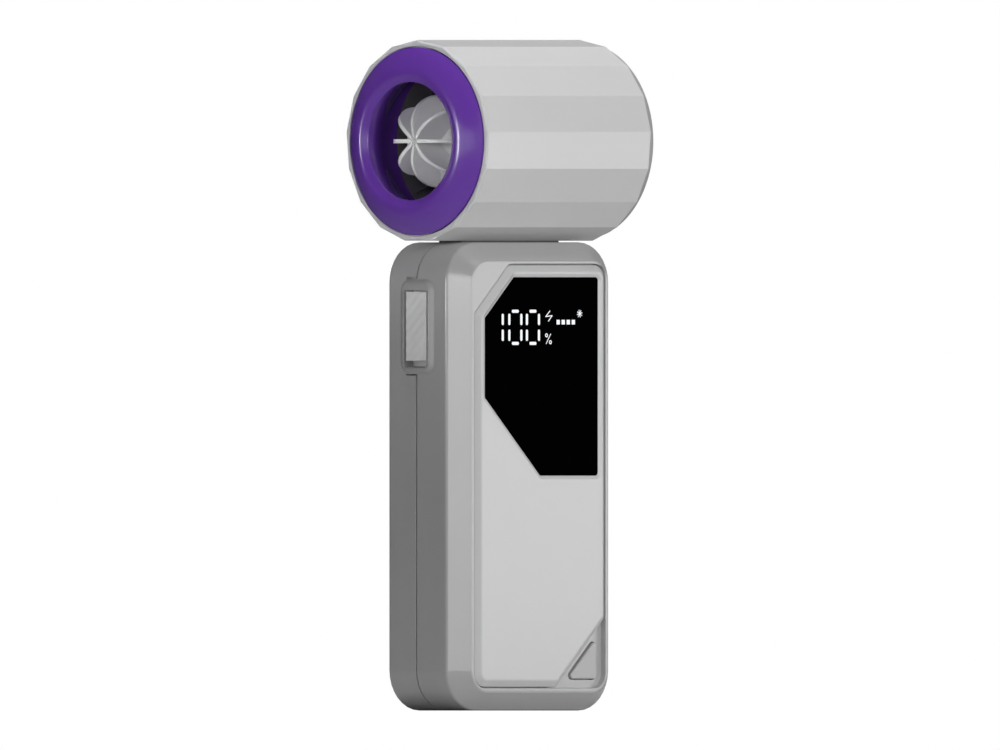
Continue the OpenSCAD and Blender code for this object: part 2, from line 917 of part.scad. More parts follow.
module battery_leads() {
    color([0.7, 0.1, 0.1])
    for (sx = [-1, 1])
        bent_lead(sx * cell_x, cell_y, cell_top + 0.35, 83, 0.75);
}

module foam_pads() {
    pad_x = 21.7;
    pad_half = 1.8;
    color([0.2, 0.2, 0.2])
    for (sx = [-1, 1])
        box([sx * pad_x - pad_half, -4, 30], [sx * pad_x + pad_half, 7, 58]);
}

// ---------- barrel ----------

module facet_outline(r) {
    polygon([for (i = [0:head_sides - 1]) let (a = 180 + i * 360 / head_sides) r * [cos(a), sin(a)]]);
}

module head_shell() {
    color(PANEL_GREY)
    difference() {
        on_axis(head_front)
            linear_extrude(head_len)
                facet_outline(head_r);
        on_axis(head_front - 1)
            cylinder(h = head_len + 2, r = head_bore_r);
        on_axis(head_front - 1)
            cylinder(h = ring_seat_x - head_front + 1, r = ring_seat_r);
        lead_passage(barrel_flat_z - 1, barrel_flat_z + 4);
        for (sx = [-1, 1])
            translate([sx * neck_screw_x, 0, 0]) {
                translate([0, 0, barrel_flat_z - 1])
                    cylinder(h = 5, r = screw_shank_r + 0.15, $fn = 32);
                translate([0, 0, neck_head_z])
                    cylinder(h = 3, r = screw_head_r + 0.2, $fn = 32);
            }
    }
}

module nozzle_ring() {
    skin = 1.2;
    steps = 14;
    wall_steps = 8;
    inner_r = head_bore_r - 0.1;
    seat_x = ring_seat_x - 0.05;
    // Outer face, ever steeper from the crest to the edge, then a conical lip with rounded ends
    face = [
        for (i = [0:steps])
            let (s = 1 - i / steps)
            [ring_crest_r + (nozzle_r - ring_crest_r) * s,
                ring_crest_x + (ring_edge_x - ring_crest_x) * pow(s, 1.6)]
    ];
    lip = [
        [ring_crest_r - 0.25, ring_crest_x + 0.04], [ring_crest_r - 0.5, ring_crest_x + 0.16],
        [throat_r + 0.25, throat_x - 0.26], [throat_r + 0.08, throat_x - 0.12], [throat_r, throat_x]
    ];
    flare = [
        for (i = [1:wall_steps])
            let (s = i / wall_steps)
            [throat_r + (duct_r - throat_r) * (1 - cos(180 * s)) / 2, throat_x + (duct_front - throat_x) * s]
    ];
    // Outside of the flared wall, then the hollow behind the crest and the skirt that centres the ring
    flare_back = [for (i = [len(flare) - 1:-1:1]) flare[i] + [skin - 0.05, 0]];
    hollow = [
        [ring_crest_r, ring_crest_x + 1.6], [ring_crest_r + 2.6, ring_crest_x + 1.8],
        [inner_r - skin, ring_edge_x - 0.2], [inner_r - skin, ring_seat_x + 4],
        [inner_r, ring_seat_x + 4], [inner_r, seat_x], [nozzle_r, seat_x]
    ];
    color(PURPLE)
    on_axis()
        rotate_extrude()
            polygon(concat(face, lip, flare, flare_back, hollow));
}

module duct_sleeve() {
    strut_x = [2.4, 10.2];
    strut_half = 2;
    vane_gap = 45;
    color(DARK)
    difference() {
        union() {
            on_axis(duct_front + 0.05)
                tube(sleeve_r, duct_r, duct_back - duct_front - 0.05);
            on_axis(pod_front)
                cylinder(h = pod_floor - pod_front, r = hub_r);
            on_axis(pod_floor - eps)
                tube(hub_r, hub_r - pod_wall, pod_back - pod_floor);
            on_axis(front_bearing_x - 0.2)
                cylinder(h = pod_front - front_bearing_x + 0.3, r = core_bore_r - 0.05);
            for (i = [1:7])
                on_axis(0)
                    rotate([0, 0, i * vane_gap])
                        translate([hub_r - 0.4, -vane_t / 2, 0])
                            cube([duct_r - hub_r + 0.8, vane_t, vane_back]);
            box([strut_x[0], -strut_half, head_z - duct_r - 0.4],
                [strut_x[1], strut_half, head_z - hub_r + 0.4]);
        }
        on_axis(front_bearing_x - 1)
            cylinder(h = 20, r = bearing_r - 0.5);
        on_axis(front_bearing_x - 1)
            cylinder(h = 1 + bearing_len, r = bearing_r);
        on_axis(rear_bearing_x)
            cylinder(h = 10, r = bearing_r);
        lead_passage(head_z - sleeve_r - 1, head_z - hub_r + pod_wall + 0.5);
    }
}

module damper(x) {
    on_axis(x)
        tube(head_bore_r - 0.05, sleeve_r + 0.05, 4);
}

module front_damper() {
    color([0.12, 0.12, 0.13])
        damper(-8.5);
}

module rear_damper() {
    color([0.12, 0.12, 0.13])
        damper(13.5);
}

module rear_grille() {
    plate_t = 1.5;
    spokes = 12;
    rings = [6.4, 9.4, 12.4, 15.4];
    bar_w = 0.9;
    color(SHELL_GREY)
    difference() {
        union() {
            on_axis(head_rear + 0.02)
                tube(grille_r, duct_r + 0.2, grille_back - head_rear - 0.02);
            on_axis(duct_back + 0.3)
                tube(head_bore_r - 0.1, duct_r + 0.2, head_rear - duct_back);
            for (r = rings)
                on_axis(grille_back - plate_t)
                    tube(r + bar_w / 2, r - bar_w / 2, plate_t - 0.2);
            on_axis(grille_back - plate_t)
                cylinder(h = plate_t - 0.2, r = 4);
            for (i = [0:spokes - 1])
                on_axis(grille_back - plate_t)
                    rotate([0, 0, i * 360 / spokes + 15])
                        translate([3.6, -bar_w / 2, 0])
                            cube([duct_r - 3.1, bar_w, plate_t - 0.3]);
        }
        for (a = grille_screw_angles)
            on_axis(duct_back)
                rotate([0, 0, a])
                    translate([grille_screw_r, 0, 0]) {
                        cylinder(h = 20, r = grille_shank_r + thread_play + 0.02, $fn = 24);
                        translate([0, 0, grille_back - duct_back - grille_screw_sink])
                            cylinder(h = 2, r = grille_head_r + 0.1, $fn = 24);
                    }
    }
}

module grille_screws() {
    color(STEEL)
    for (a = grille_screw_angles)
        on_axis(grille_back - grille_screw_sink)
            rotate([0, 0, a])
                translate([grille_screw_r, 0, 0])
                    mirror([0, 0, 1])
                        screw(grille_head_r, 0.55, grille_shank_r, 5);
}

module tail_cover() {
    tail_len = 5.5;
    spigot = 1.5;
    color(DARK) {
        on_axis(pod_back + 0.02)
            rotate_extrude()
                polygon(concat([[0, 0]], quarter([0, 0], [hub_r, 0], [0, tail_len], 10)));
        on_axis(pod_back - spigot)
            cylinder(h = spigot + 0.1, r = hub_r - pod_wall - 0.05);
    }
}

module bearing(x) {
    color(STEEL)
    on_axis(x)
        tube(bearing_r - 0.01, shaft_r + shaft_play, bearing_len);
}

module front_bearing() {
    bearing(front_bearing_x);
}

module rear_bearing() {
    bearing(rear_bearing_x);
}

module stator_core() {
    tooth_w = 1.2;
    color([0.45, 0.45, 0.47])
    on_axis(core_x[0])
        linear_extrude(core_x[1] - core_x[0])
            difference() {
                union() {
                    circle(core_bore_r + 1.2);
                    for (i = [0:teeth - 1])
                        rotate(i * 360 / teeth) {
                            translate([core_bore_r + 0.8, -tooth_w / 2])
                                square([core_r - core_bore_r - 1.4, tooth_w]);
                            intersection() {
                                difference() {
                                    circle(core_r);
                                    circle(core_r - 0.7);
                                }
                                translate([core_r - 1, -1.9])
                                    square([2, 3.8]);
                            }
                        }
                }
                circle(core_bore_r);
            }
}

module stator_windings() {
    coil_w = 2.2;
    coil_end = 0.9;
    slot_w = 1.24;
    color([0.72, 0.4, 0.15])
    for (i = [0:teeth - 1])
        on_axis(0)
            rotate([0, 0, i * 360 / teeth])
                difference() {
                    box([core_bore_r + 1.4, -coil_w / 2, core_x[0] - coil_end],
                        [core_r - 0.9, coil_w / 2, core_x[1] + coil_end]);
                    box([core_bore_r, -slot_w / 2, core_x[0] - 0.02], [core_r, slot_w / 2, core_x[1] + 0.02]);
                }
}

module driver_board() {
    disc_r = hub_r - pod_wall - 0.3;
    disc_t = 1.2;
    chip_w = 2.4;
    color(BOARD_GREEN)
    on_axis(2.2) {
        tube(disc_r, 1.5, disc_t);
        for (a = [60:60:300])
            rotate([0, 0, a])
                translate([4, -chip_w / 2, disc_t - eps])
                    cube([chip_w, chip_w, 0.9]);
    }
}

module motor_leads() {
    start_z = head_z - 7.8;
    board_x = 3.4;
    color([0.1, 0.1, 0.1])
    for (x = lead_x) {
        bent_lead(x, 0, start_z, lead_turn_z, lead_r);
        translate([x, 0, start_z])
            sphere(lead_r, $fn = 24);
        translate([board_x + 0.02, 0, start_z])
            rotate([0, 90, 0])
                cylinder(h = x - board_x - 0.02, r = lead_r, $fn = 24);
    }
}

// ---------- rotor ----------

module spinner() {
    fin_t = 0.94;
    dish = spinner_tip_x - spinner_crest_x;
    dish_steps = 5;
    // Half of a fin's edge, from the axis over the crest to the base
    edge = concat(
        [for (i = [0:dish_steps - 1]) let (s = i / dish_steps)
            [s * spinner_crest_r, spinner_crest_x + dish * (1 + cos(180 * s)) / 2]],
        quarter([spinner_crest_r, spinner_base_x], [0, spinner_crest_x - spinner_base_x],
            [hub_r - 0.15 - spinner_crest_r, 0], 12)
    );
    outline = concat(mirrored(edge), [for (i = [1:len(edge) - 1]) edge[i]]);
    color([0.85, 0.85, 0.86]) {
        for (i = [0:fins / 2 - 1])
            on_axis()
                rotate([0, 0, i * 360 / fins])
                    rotate([90, 0, 0])
                        translate([0, 0, -fin_t / 2])
                            linear_extrude(fin_t)
                                polygon(outline);
        on_axis(spinner_base_x - eps)
            cylinder(h = hub_front - spinner_base_x, r = hub_r);
        on_axis(spinner_tip_x + 0.3)
            cylinder(h = 4, r = 1.2);
    }
}

module impeller() {
    pitch = 38;
    blade_t = 0.9;
    color(DARK)
    difference() {
        union() {
            on_axis(hub_front)
                cylinder(h = hub_back - hub_front, r = hub_r);
            intersection() {
                on_axis(blade_x - blade_span / 2)
                    tube(blade_tip_r, hub_r - 0.4, blade_span);
                for (i = [0:blades - 1])
                    on_axis(blade_x)
                        rotate([0, 0, i * 360 / blades])
                            rotate([pitch, 0, 0])
                                translate([hub_r - 1, -blade_t / 2, -blade_span])
                                    cube([blade_tip_r - hub_r + 3, blade_t, 2 * blade_span]);
            }
        }
        on_axis(can_front)
            cylinder(h = 20, r = hub_r - hub_wall);
        on_axis(hub_front - 1)
            cylinder(h = 10, r = shaft_r + eps);
    }
}

module rotor_can() {
    color([0.5, 0.5, 0.52])
    difference() {
        on_axis(can_front + 0.02)
            cylinder(h = can_back - can_front, r = can_r);
        on_axis(can_front + 0.8)
            difference() {
                cylinder(h = 20, r = can_r - can_wall);
                cylinder(h = 1, r = 2.2);
            }
        on_axis(can_front - 1)
            cylinder(h = 10, r = shaft_r + eps);
    }
}

module rotor_magnets() {
    poles = 12;
    gap = 0.3;
    color([0.3, 0.3, 0.32])
    on_axis(magnet_x[0])
        difference() {
            tube(can_r - can_wall - 0.02, magnet_inner_r, magnet_x[1] - magnet_x[0]);
            for (i = [0:poles - 1])
                rotate([0, 0, i * 360 / poles])
                    translate([0, -gap / 2, -1])
                        cube([can_r, gap, 20]);
        }
}

module motor_shaft() {
    groove_x = 0.1;
    color(STEEL)
    on_axis()
        difference() {
            translate([0, 0, hub_front + 0.1])
                cylinder(h = 0.9 - hub_front, r = shaft_r);
            translate([0, 0, groove_x])
                tube(2, 0.75, 0.5);
        }
}

module shaft_clip() {
    color([0.35, 0.35, 0.36])
    on_axis(0.15)
        tube(1.8, 0.77, 0.4);
}

front_shell();
rear_shell();
front_plate();
display_glass();
display_segments();
display_module();
mode_button();
tact_switch();
switch_collar();
switch_knob();
switch_body();
neck_block();
neck_screws();
case_screws();
main_board();
board_screws();
controller_chips();
power_inductor();
usb_shell();
usb_tongue();
battery_cells();
cell_holder();
nickel_strips();
battery_leads();
foam_pads();
head_shell();
nozzle_ring();
duct_sleeve();
front_damper();
rear_damper();
rear_grille();
grille_screws();
tail_cover();
front_bearing();
rear_bearing();
stator_core();
stator_windings();
driver_board();
motor_leads();
spinner();
impeller();
rotor_can();
rotor_magnets();
motor_shaft();
shaft_clip();
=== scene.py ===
"""Looks of a handheld turbo fan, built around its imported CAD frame.

Shapes are worked out in millimetres, from the boxes of the CAD nodes, and written to meshes in metres.
"""

import json
import math

import bmesh
import bpy
from mathutils import Matrix, Vector
from mathutils.geometry import tessellate_polygon

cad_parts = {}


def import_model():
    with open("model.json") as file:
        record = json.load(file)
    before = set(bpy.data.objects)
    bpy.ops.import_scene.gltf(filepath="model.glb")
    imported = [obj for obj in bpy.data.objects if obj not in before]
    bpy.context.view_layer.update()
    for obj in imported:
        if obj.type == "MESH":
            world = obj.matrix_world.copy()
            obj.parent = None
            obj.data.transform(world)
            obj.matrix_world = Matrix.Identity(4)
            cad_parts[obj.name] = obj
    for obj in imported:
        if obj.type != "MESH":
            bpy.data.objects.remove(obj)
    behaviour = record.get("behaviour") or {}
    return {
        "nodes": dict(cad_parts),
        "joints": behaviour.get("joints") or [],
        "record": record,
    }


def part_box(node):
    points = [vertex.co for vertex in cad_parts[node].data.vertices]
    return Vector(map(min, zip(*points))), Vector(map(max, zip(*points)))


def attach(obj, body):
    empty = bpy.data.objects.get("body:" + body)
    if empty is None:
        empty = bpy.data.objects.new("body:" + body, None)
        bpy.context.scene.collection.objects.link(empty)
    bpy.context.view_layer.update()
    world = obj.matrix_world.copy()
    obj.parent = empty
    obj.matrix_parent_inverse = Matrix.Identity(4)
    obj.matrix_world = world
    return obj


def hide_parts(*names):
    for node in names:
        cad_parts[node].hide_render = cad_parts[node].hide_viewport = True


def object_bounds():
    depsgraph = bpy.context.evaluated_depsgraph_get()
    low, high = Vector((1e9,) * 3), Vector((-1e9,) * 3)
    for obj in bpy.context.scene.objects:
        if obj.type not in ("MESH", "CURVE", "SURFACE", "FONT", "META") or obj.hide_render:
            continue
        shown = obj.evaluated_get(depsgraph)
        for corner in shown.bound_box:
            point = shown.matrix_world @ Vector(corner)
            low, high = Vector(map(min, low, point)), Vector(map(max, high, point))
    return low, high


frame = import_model()
cad_low, cad_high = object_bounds()

MM = 0.001
AXIS_Z = next(j for j in frame["joints"] if j["name"] == "rotor_spin")["pos_m"][2] / MM

# Handle, in millimetres
BODY_CORNER = 9.2
BEVEL = 4.1
WALL = 1.6
SEAM_GAP = 0.42
RECESS_DEPTH = 1.6
FLOOR_T = 1.2
CAVITY_BEVEL_FRONT = 2.4
CAVITY_BEVEL_REAR = 3.2
TONGUE_T = 0.8
TONGUE_PLAY = 0.1

# Outlines of the front: how much each cut takes off a corner, and each corner's radius
PLATE_GAP = 0.25
RECESS_CUT = 11.2
RECESS_RADII = (3.4, 3.4, 3.4, 2.0, 2.0)
PLATE_CUT = 11.05
PLATE_RADII = (3.15, 2.0, 2.0, 3.15, 1.8, 1.8)
PLATE_BEVEL = 1.45
PLATE_BEVEL_DEPTH = 1.16
BUTTON_CUT = 15.5
GLASS_TOP_CUT = 9.25
GLASS_LOW_CUT = 17.7
GLASS_RADII = (0.3, 0.8, 0.8, 0.3, 0.3, 0.3)
GLASS_SLOPE = 0.8
GLASS_PLAY = 0.05
GLASS_LEDGE = 1.5
BUTTON_RADII = (0.8, 0.9, 0.8)
BUTTON_CLEARANCE = 0.22
BUTTON_FLANGE = 0.7

# Barrel
HEAD_SIDES = 17
RING_GAP = 0.2
SEAT_DEPTH = 1.4
HEAD_WALL_R = 21.0
DUCT_R = 18.2
THROAT_R = 13.4

ARC_STEPS = 8
ROUND_STEPS = 4
TURN_STEPS = 144
MIN_RADIUS = 0.05


# ---------- outlines and solids ----------

def span(node):
    """Lowest and highest corner of a CAD node, in millimetres."""
    low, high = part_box(node)
    return low / MM, high / MM


def inward(a, b):
    """Unit normal of the side from a to b, towards the inside of an anticlockwise outline."""
    along = (b - a).normalized()
    return Vector((-along.y, along.x))


def outline(corners, radii, inset=0.0, steps=ARC_STEPS):
    """A convex anticlockwise outline moved inwards by inset, with each corner rounded by its own radius."""
    corners = [Vector(c) for c in corners]
    points = []
    for i, corner in enumerate(corners):
        before = inward(corners[i - 1], corner)
        after = inward(corner, corners[(i + 1) % len(corners)])
        step = (before + after) / (1 + before.dot(after))
        radius = max(radii[i] - inset, MIN_RADIUS)
        centre = corner + step * (inset + radius)
        start = math.atan2(-before.y, -before.x)
        turn = math.acos(max(-1.0, min(1.0, before.dot(after))))
        for k in range(steps + 1):
            a = start + turn * k / steps
            points.append(centre + radius * Vector((math.cos(a), math.sin(a))))
    return points


def circle(radius, centre=(0.0, 0.0), steps=TURN_STEPS):
    """Points of a circle, anticlockwise."""
    return [
        Vector(centre) + radius * Vector((math.cos(a), math.sin(a)))
        for a in (math.tau * k / steps for k in range(steps))
    ]


def soften(profile, steps=ROUND_STEPS):
    """Points (across, level) of a polyline of (across, level, cut).

    Each corner is rounded from cut before it to cut after it.
    """
    rounded = []
    last = len(profile) - 1
    for i, (across, level, cut) in enumerate(profile):
        here = Vector((across, level))
        if cut == 0 or i in (0, last):
            rounded.append(here)
            continue
        start = here + (Vector(profile[i - 1][:2]) - here).normalized() * cut
        end = here + (Vector(profile[i + 1][:2]) - here).normalized() * cut
        for k in range(steps + 1):
            t = k / steps
            rounded.append((1 - t) ** 2 * start + 2 * t * (1 - t) * here + t ** 2 * end)
    return rounded


def facing_front(points, y):
    """Outline points in x and z, placed at depth y."""
    return [(p.x, y, p.y) for p in points]


def facing_side(points, x):
    """Outline points in y and z, placed at x."""
    return [(x, p.x, p.y) for p in points]


def facing_along_axis(points, x):
    """Outline points around the barrel's axis, placed at x."""
    return [(x, p.x, AXIS_Z + p.y) for p in points]


class Solid:
    """Points and faces of one piece, in millimetres."""

    def __init__(self):
        self.points = []
        self.faces = []

    def ring(self, points):
        start = len(self.points)
        self.points += [tuple(p) for p in points]
        return list(range(start, len(self.points)))

    def join(self, a, b):
        """Walls between two rings of as many points."""
        n = len(a)
        self.faces += [(a[i], a[(i + 1) % n], b[(i + 1) % n], b[i]) for i in range(n)]

    def loft(self, rings):
        """Walls through a row of rings; returns the first and the last ring."""
        made = [self.ring(r) for r in rings]
        for a, b in zip(made, made[1:]):
            self.join(a, b)
        return made[0], made[-1]

    def fill(self, *loops):
        """A flat face inside the first loop and outside the others."""
        order = [i for loop in loops for i in loop]
        flat = [[Vector(self.points[i]) for i in loop] for loop in loops]
        self.faces += [tuple(order[k] for k in triangle) for triangle in tessellate_polygon(flat)]

    def sweep(self, corners, radii, profile, place):
        """Walls that follow an outline, by a softened profile of (inset, level, cut)."""
        return self.loft([place(outline(corners, radii, p.x), p.y) for p in soften(profile)])

    def turn(self, profile, place, centre=(0.0, 0.0), steps=TURN_STEPS, round_steps=ROUND_STEPS):
        """Walls turned around a centre, by a softened profile of (radius, level, cut)."""
        rings = [place(circle(p.x, centre, steps), p.y) for p in soften(profile, round_steps)]
        return self.loft(rings)

    def box(self, low, high):
        base = [(low[0], low[1]), (high[0], low[1]), (high[0], high[1]), (low[0], high[1])]
        first, last = self.loft([[(x, y, z) for x, y in base] for z in (low[2], high[2])])
        self.fill(first)
        self.fill(last)

    def make(self, name, sharp_angle=35.0):
        """The Blender object of this solid, in metres, with flat faces that stay flat beside rounded edges."""
        mesh = bpy.data.meshes.new(name)
        mesh.from_pydata([Vector(p) * MM for p in self.points], [], self.faces)
        build = bmesh.new()
        build.from_mesh(mesh)
        bmesh.ops.remove_doubles(build, verts=build.verts, dist=1e-7)
        bmesh.ops.dissolve_degenerate(build, edges=build.edges, dist=1e-8)
        bmesh.ops.recalc_face_normals(build, faces=build.faces)
        build.to_mesh(mesh)
        build.free()
        obj = bpy.data.objects.new(name, mesh)
        bpy.context.scene.collection.objects.link(obj)
        shade(obj, sharp_angle)
        return obj


def shade(obj, sharp_angle):
    """Smooth shading up to an angle, with normals weighted by area."""
    for polygon in obj.data.polygons:
        polygon.use_smooth = True
    obj.data.set_sharp_from_angle(angle=math.radians(sharp_angle))
    weighted = obj.modifiers.new("even_normals", "WEIGHTED_NORMAL")
    weighted.keep_sharp = True
    weighted.weight = 100


def cut_away(obj, cutter):
    """Cuts a solid out of an object's mesh, once and for all."""
    tool = cutter.make("cutter")
    obj.modifiers.clear()
    cut = obj.modifiers.new("cut", "BOOLEAN")
    cut.operation = "DIFFERENCE"
    cut.solver = "EXACT"
    cut.object = tool
    bpy.context.view_layer.update()
    evaluated = obj.evaluated_get(bpy.context.evaluated_depsgraph_get())
    mesh = bpy.data.meshes.new_from_object(evaluated)
    obj.modifiers.clear()
    obj.data = mesh
    bpy.data.objects.remove(tool)


# ---------- materials ----------

def add(tree, kind, **inputs):
    """A new shader node with the given values on its inputs; an underscore stands for a space."""
    node = tree.nodes.new(kind)
    for name, value in inputs.items():
        node.inputs[name.replace("_", " ")].default_value = value
    return node


def plastic(name, colour, roughness, grain=0.00012, depth=0.04, patchy=0.02, specular=0.5, coat=0.0, ior=1.5):
    """Moulded plastic: a fine spark-eroded grain, with a slightly uneven gloss and colour."""
    material = bpy.data.materials.new(name)
    material.use_nodes = True
    tree = material.node_tree
    shader = tree.nodes["Principled BSDF"]
    shader.inputs["Specular IOR Level"].default_value = specular
    shader.inputs["IOR"].default_value = ior
    shader.inputs["Coat Weight"].default_value = coat
    shader.inputs["Coat Roughness"].default_value = 0.12
    place = tree.nodes.new("ShaderNodeTexCoord")
    fine = add(tree, "ShaderNodeTexNoise", Scale=1 / grain, Detail=2.0, Roughness=0.5)
    broad = add(tree, "ShaderNodeTexNoise", Scale=90.0, Detail=3.0, Roughness=0.55)
    bump = add(tree, "ShaderNodeBump", Strength=depth, Distance=0.0001)
    gloss = add(tree, "ShaderNodeMapRange")
    gloss.inputs["To Min"].default_value = max(roughness - patchy, 0.02)
    gloss.inputs["To Max"].default_value = min(roughness + patchy, 1.0)
    tint = tree.nodes.new("ShaderNodeMix")
    tint.data_type = "RGBA"
    tint.inputs["A"].default_value = (*[c * 0.985 for c in colour], 1.0)
    tint.inputs["B"].default_value = (*[min(c * 1.015, 1.0) for c in colour], 1.0)
    link = tree.links.new
    for texture in (fine, broad):
        link(place.outputs["Object"], texture.inputs["Vector"])
    link(fine.outputs["Fac"], bump.inputs["Height"])
    link(bump.outputs["Normal"], shader.inputs["Normal"])
    link(broad.outputs["Fac"], gloss.inputs["Value"])
    link(gloss.outputs["Result"], shader.inputs["Roughness"])
    link(broad.outputs["Fac"], tint.inputs["Factor"])
    link(tint.outputs["Result"], shader.inputs["Base Color"])
    return material


def metal(name, colour, roughness, scratch=0.02):
    """Plated or machined metal with fine marks along it."""
    material = bpy.data.materials.new(name)
    material.use_nodes = True
    tree = material.node_tree
    shader = tree.nodes["Principled BSDF"]
    shader.inputs["Metallic"].default_value = 1.0
    shader.inputs["Base Color"].default_value = (*colour, 1.0)
    place = tree.nodes.new("ShaderNodeTexCoord")
    stretch = tree.nodes.new("ShaderNodeMapping")
    stretch.inputs["Scale"].default_value = (0.08, 1.0, 1.0)
    marks = add(tree, "ShaderNodeTexNoise", Scale=4000.0, Detail=3.0, Roughness=0.6)
    gloss = add(tree, "ShaderNodeMapRange")
    gloss.inputs["To Min"].default_value = max(roughness - 0.08, 0.02)
    gloss.inputs["To Max"].default_value = roughness + 0.08
    bump = add(tree, "ShaderNodeBump", Strength=scratch, Distance=0.0001)
    link = tree.links.new
    link(place.outputs["Object"], stretch.inputs["Vector"])
    link(stretch.outputs["Vector"], marks.inputs["Vector"])
    link(marks.outputs["Fac"], gloss.inputs["Value"])
    link(gloss.outputs["Result"], shader.inputs["Roughness"])
    link(marks.outputs["Fac"], bump.inputs["Height"])
    link(bump.outputs["Normal"], shader.inputs["Normal"])
    return material


def lit_white():
    """The lit digits: a white face that glows, slightly uneven like light through a diffuser."""
    material = bpy.data.materials.new("lit_white")
    material.use_nodes = True
    tree = material.node_tree
    shader = tree.nodes["Principled BSDF"]
    shader.inputs["Base Color"].default_value = (0.05, 0.05, 0.05, 1.0)
    place = tree.nodes.new("ShaderNodeTexCoord")
    cloud = add(tree, "ShaderNodeTexNoise", Scale=400.0, Detail=1.0)
    glow = add(tree, "ShaderNodeMapRange")
    glow.inputs["To Min"].default_value = 0.88
    glow.inputs["To Max"].default_value = 1.02
    shader.inputs["Emission Color"].default_value = (0.95, 0.97, 1.0, 1.0)
    link = tree.links.new
    link(place.outputs["Object"], cloud.inputs["Vector"])
    link(cloud.outputs["Fac"], glow.inputs["Value"])
    link(glow.outputs["Result"], shader.inputs["Emission Strength"])
    return material


MATERIALS = {
    "shell_grey": plastic("shell_grey", (0.535, 0.535, 0.54), 0.2, specular=0.8),
    "shell_grey_rear": plastic("shell_grey_rear", (0.535, 0.535, 0.54), 0.2, specular=0.8),
    "panel_grey": plastic("panel_grey", (0.745, 0.745, 0.75), 0.25),
    "button_grey": plastic("button_grey", (0.55, 0.55, 0.555), 0.25),
    "collar_grey": plastic("collar_grey", (0.45, 0.45, 0.455), 0.25),
    "knob_silver": plastic("knob_silver", (0.97, 0.97, 0.975), 0.3, specular=1.0),
    # The neck's near-black grey is painted shade: it darkens the narrow gap under the barrel, which looks dark
    # from shadow.
    "neck_grey": plastic("neck_grey", (0.12, 0.12, 0.125), 0.5),
    "display_black": plastic(
        "display_black", (0.0008, 0.0008, 0.001), 0.15, depth=0.0, specular=0.01, ior=1.04
    ),
    "display_white": lit_white(),
    "module_white": plastic("module_white", (0.8, 0.8, 0.76), 0.6),
    "black_plastic": plastic("black_plastic", (0.02, 0.02, 0.022), 0.45),
    "duct_black": plastic("duct_black", (0.16, 0.15, 0.165), 0.4),
    "impeller_black": plastic("impeller_black", (0.05, 0.05, 0.052), 0.42),
    "spinner_grey": plastic("spinner_grey", (0.92, 0.92, 0.925), 0.3),
    "grille_grey": plastic("grille_grey", (0.40, 0.40, 0.405), 0.46),
    "nozzle_purple": plastic("nozzle_purple", (0.155, 0.048, 0.43), 0.22, depth=0.01, specular=0.5, coat=0.6),
    "board_green": plastic("board_green", (0.02, 0.16, 0.07), 0.35, grain=0.0004),
    "chip_black": plastic("chip_black", (0.02, 0.02, 0.02), 0.6),
    "ferrite": plastic("ferrite", (0.06, 0.06, 0.065), 0.7),
    "cell_wrap": plastic("cell_wrap", (0.05, 0.2, 0.5), 0.3, grain=0.0005),
    "lead_red": plastic("lead_red", (0.45, 0.02, 0.02), 0.45),
    "lead_black": plastic("lead_black", (0.02, 0.02, 0.02), 0.45),
    "foam_black": plastic("foam_black", (0.03, 0.03, 0.03), 0.95, grain=0.0006, depth=0.6),
    "damper_rubber": plastic("damper_rubber", (0.025, 0.025, 0.025), 0.75, depth=0.1),
    "magnet": plastic("magnet", (0.12, 0.12, 0.13), 0.5),
    "steel": metal("steel", (0.6, 0.61, 0.63), 0.3),
    "nickel": metal("nickel", (0.72, 0.7, 0.66), 0.25),
    "lamination_steel": metal("lamination_steel", (0.35, 0.35, 0.36), 0.45),
    "can_steel": metal("can_steel", (0.42, 0.42, 0.44), 0.35),
    "copper": metal("copper", (0.72, 0.33, 0.12), 0.3, scratch=0.2),
}
SLOTS = {part["node"]: part["material_slot"] for part in frame["record"]["subparts"]}


def dress(obj, node, body="root"):
    """Gives a built piece its material and its body, and hides the CAD node that it stands for."""
    obj.data.materials.clear()
    obj.data.materials.append(MATERIALS[SLOTS[node]])
    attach(obj, body)
    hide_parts(node)
    return obj


# ---------- handle ----------

FRONT_LOW, FRONT_HIGH = span("front_shell")
REAR_LOW, REAR_HIGH = span("rear_shell")
PLATE_LOW, PLATE_HIGH = span("front_plate")
GLASS_LOW, GLASS_HIGH = span("display_glass")
MODULE_LOW, MODULE_HIGH = span("display_module")
KNOB_LOW, KNOB_HIGH = span("switch_knob")
COLLAR_LOW, COLLAR_HIGH = span("switch_collar")
NECK_HALF = Vector((15.6, 3.8))
WINDOW_Z = (77.9, 95.35)
RAIL_Z = (82.0, 92.4)
PIN_Z = (87.4, 89.0)
BODY = [
    (FRONT_LOW.x, FRONT_LOW.z), (FRONT_HIGH.x, FRONT_LOW.z),
    (FRONT_HIGH.x, FRONT_HIGH.z), (FRONT_LOW.x, FRONT_HIGH.z),
]
BODY_RADII = (BODY_CORNER,) * 4
SEAM_FRONT = FRONT_HIGH.y - 0.07
SEAM_REAR = SEAM_FRONT + SEAM_GAP
RECESS_Y = FRONT_LOW.y + RECESS_DEPTH
FLOOR_BACK = RECESS_Y + FLOOR_T


def cut_corners(low, high, top_left=0.0, low_right=0.0, low_left=0.0):
    """Corners in x and z of a box whose corners are cut off at 45 degrees."""
    corners = [(low.x + low_left, low.z)]
    corners += [(high.x - low_right, low.z), (high.x, low.z + low_right)] if low_right else [(high.x, low.z)]
    corners += [(high.x, high.z), (low.x + top_left, high.z), (low.x, high.z - top_left)]
    corners += [(low.x, low.z + low_left)] if low_left else []
    return corners


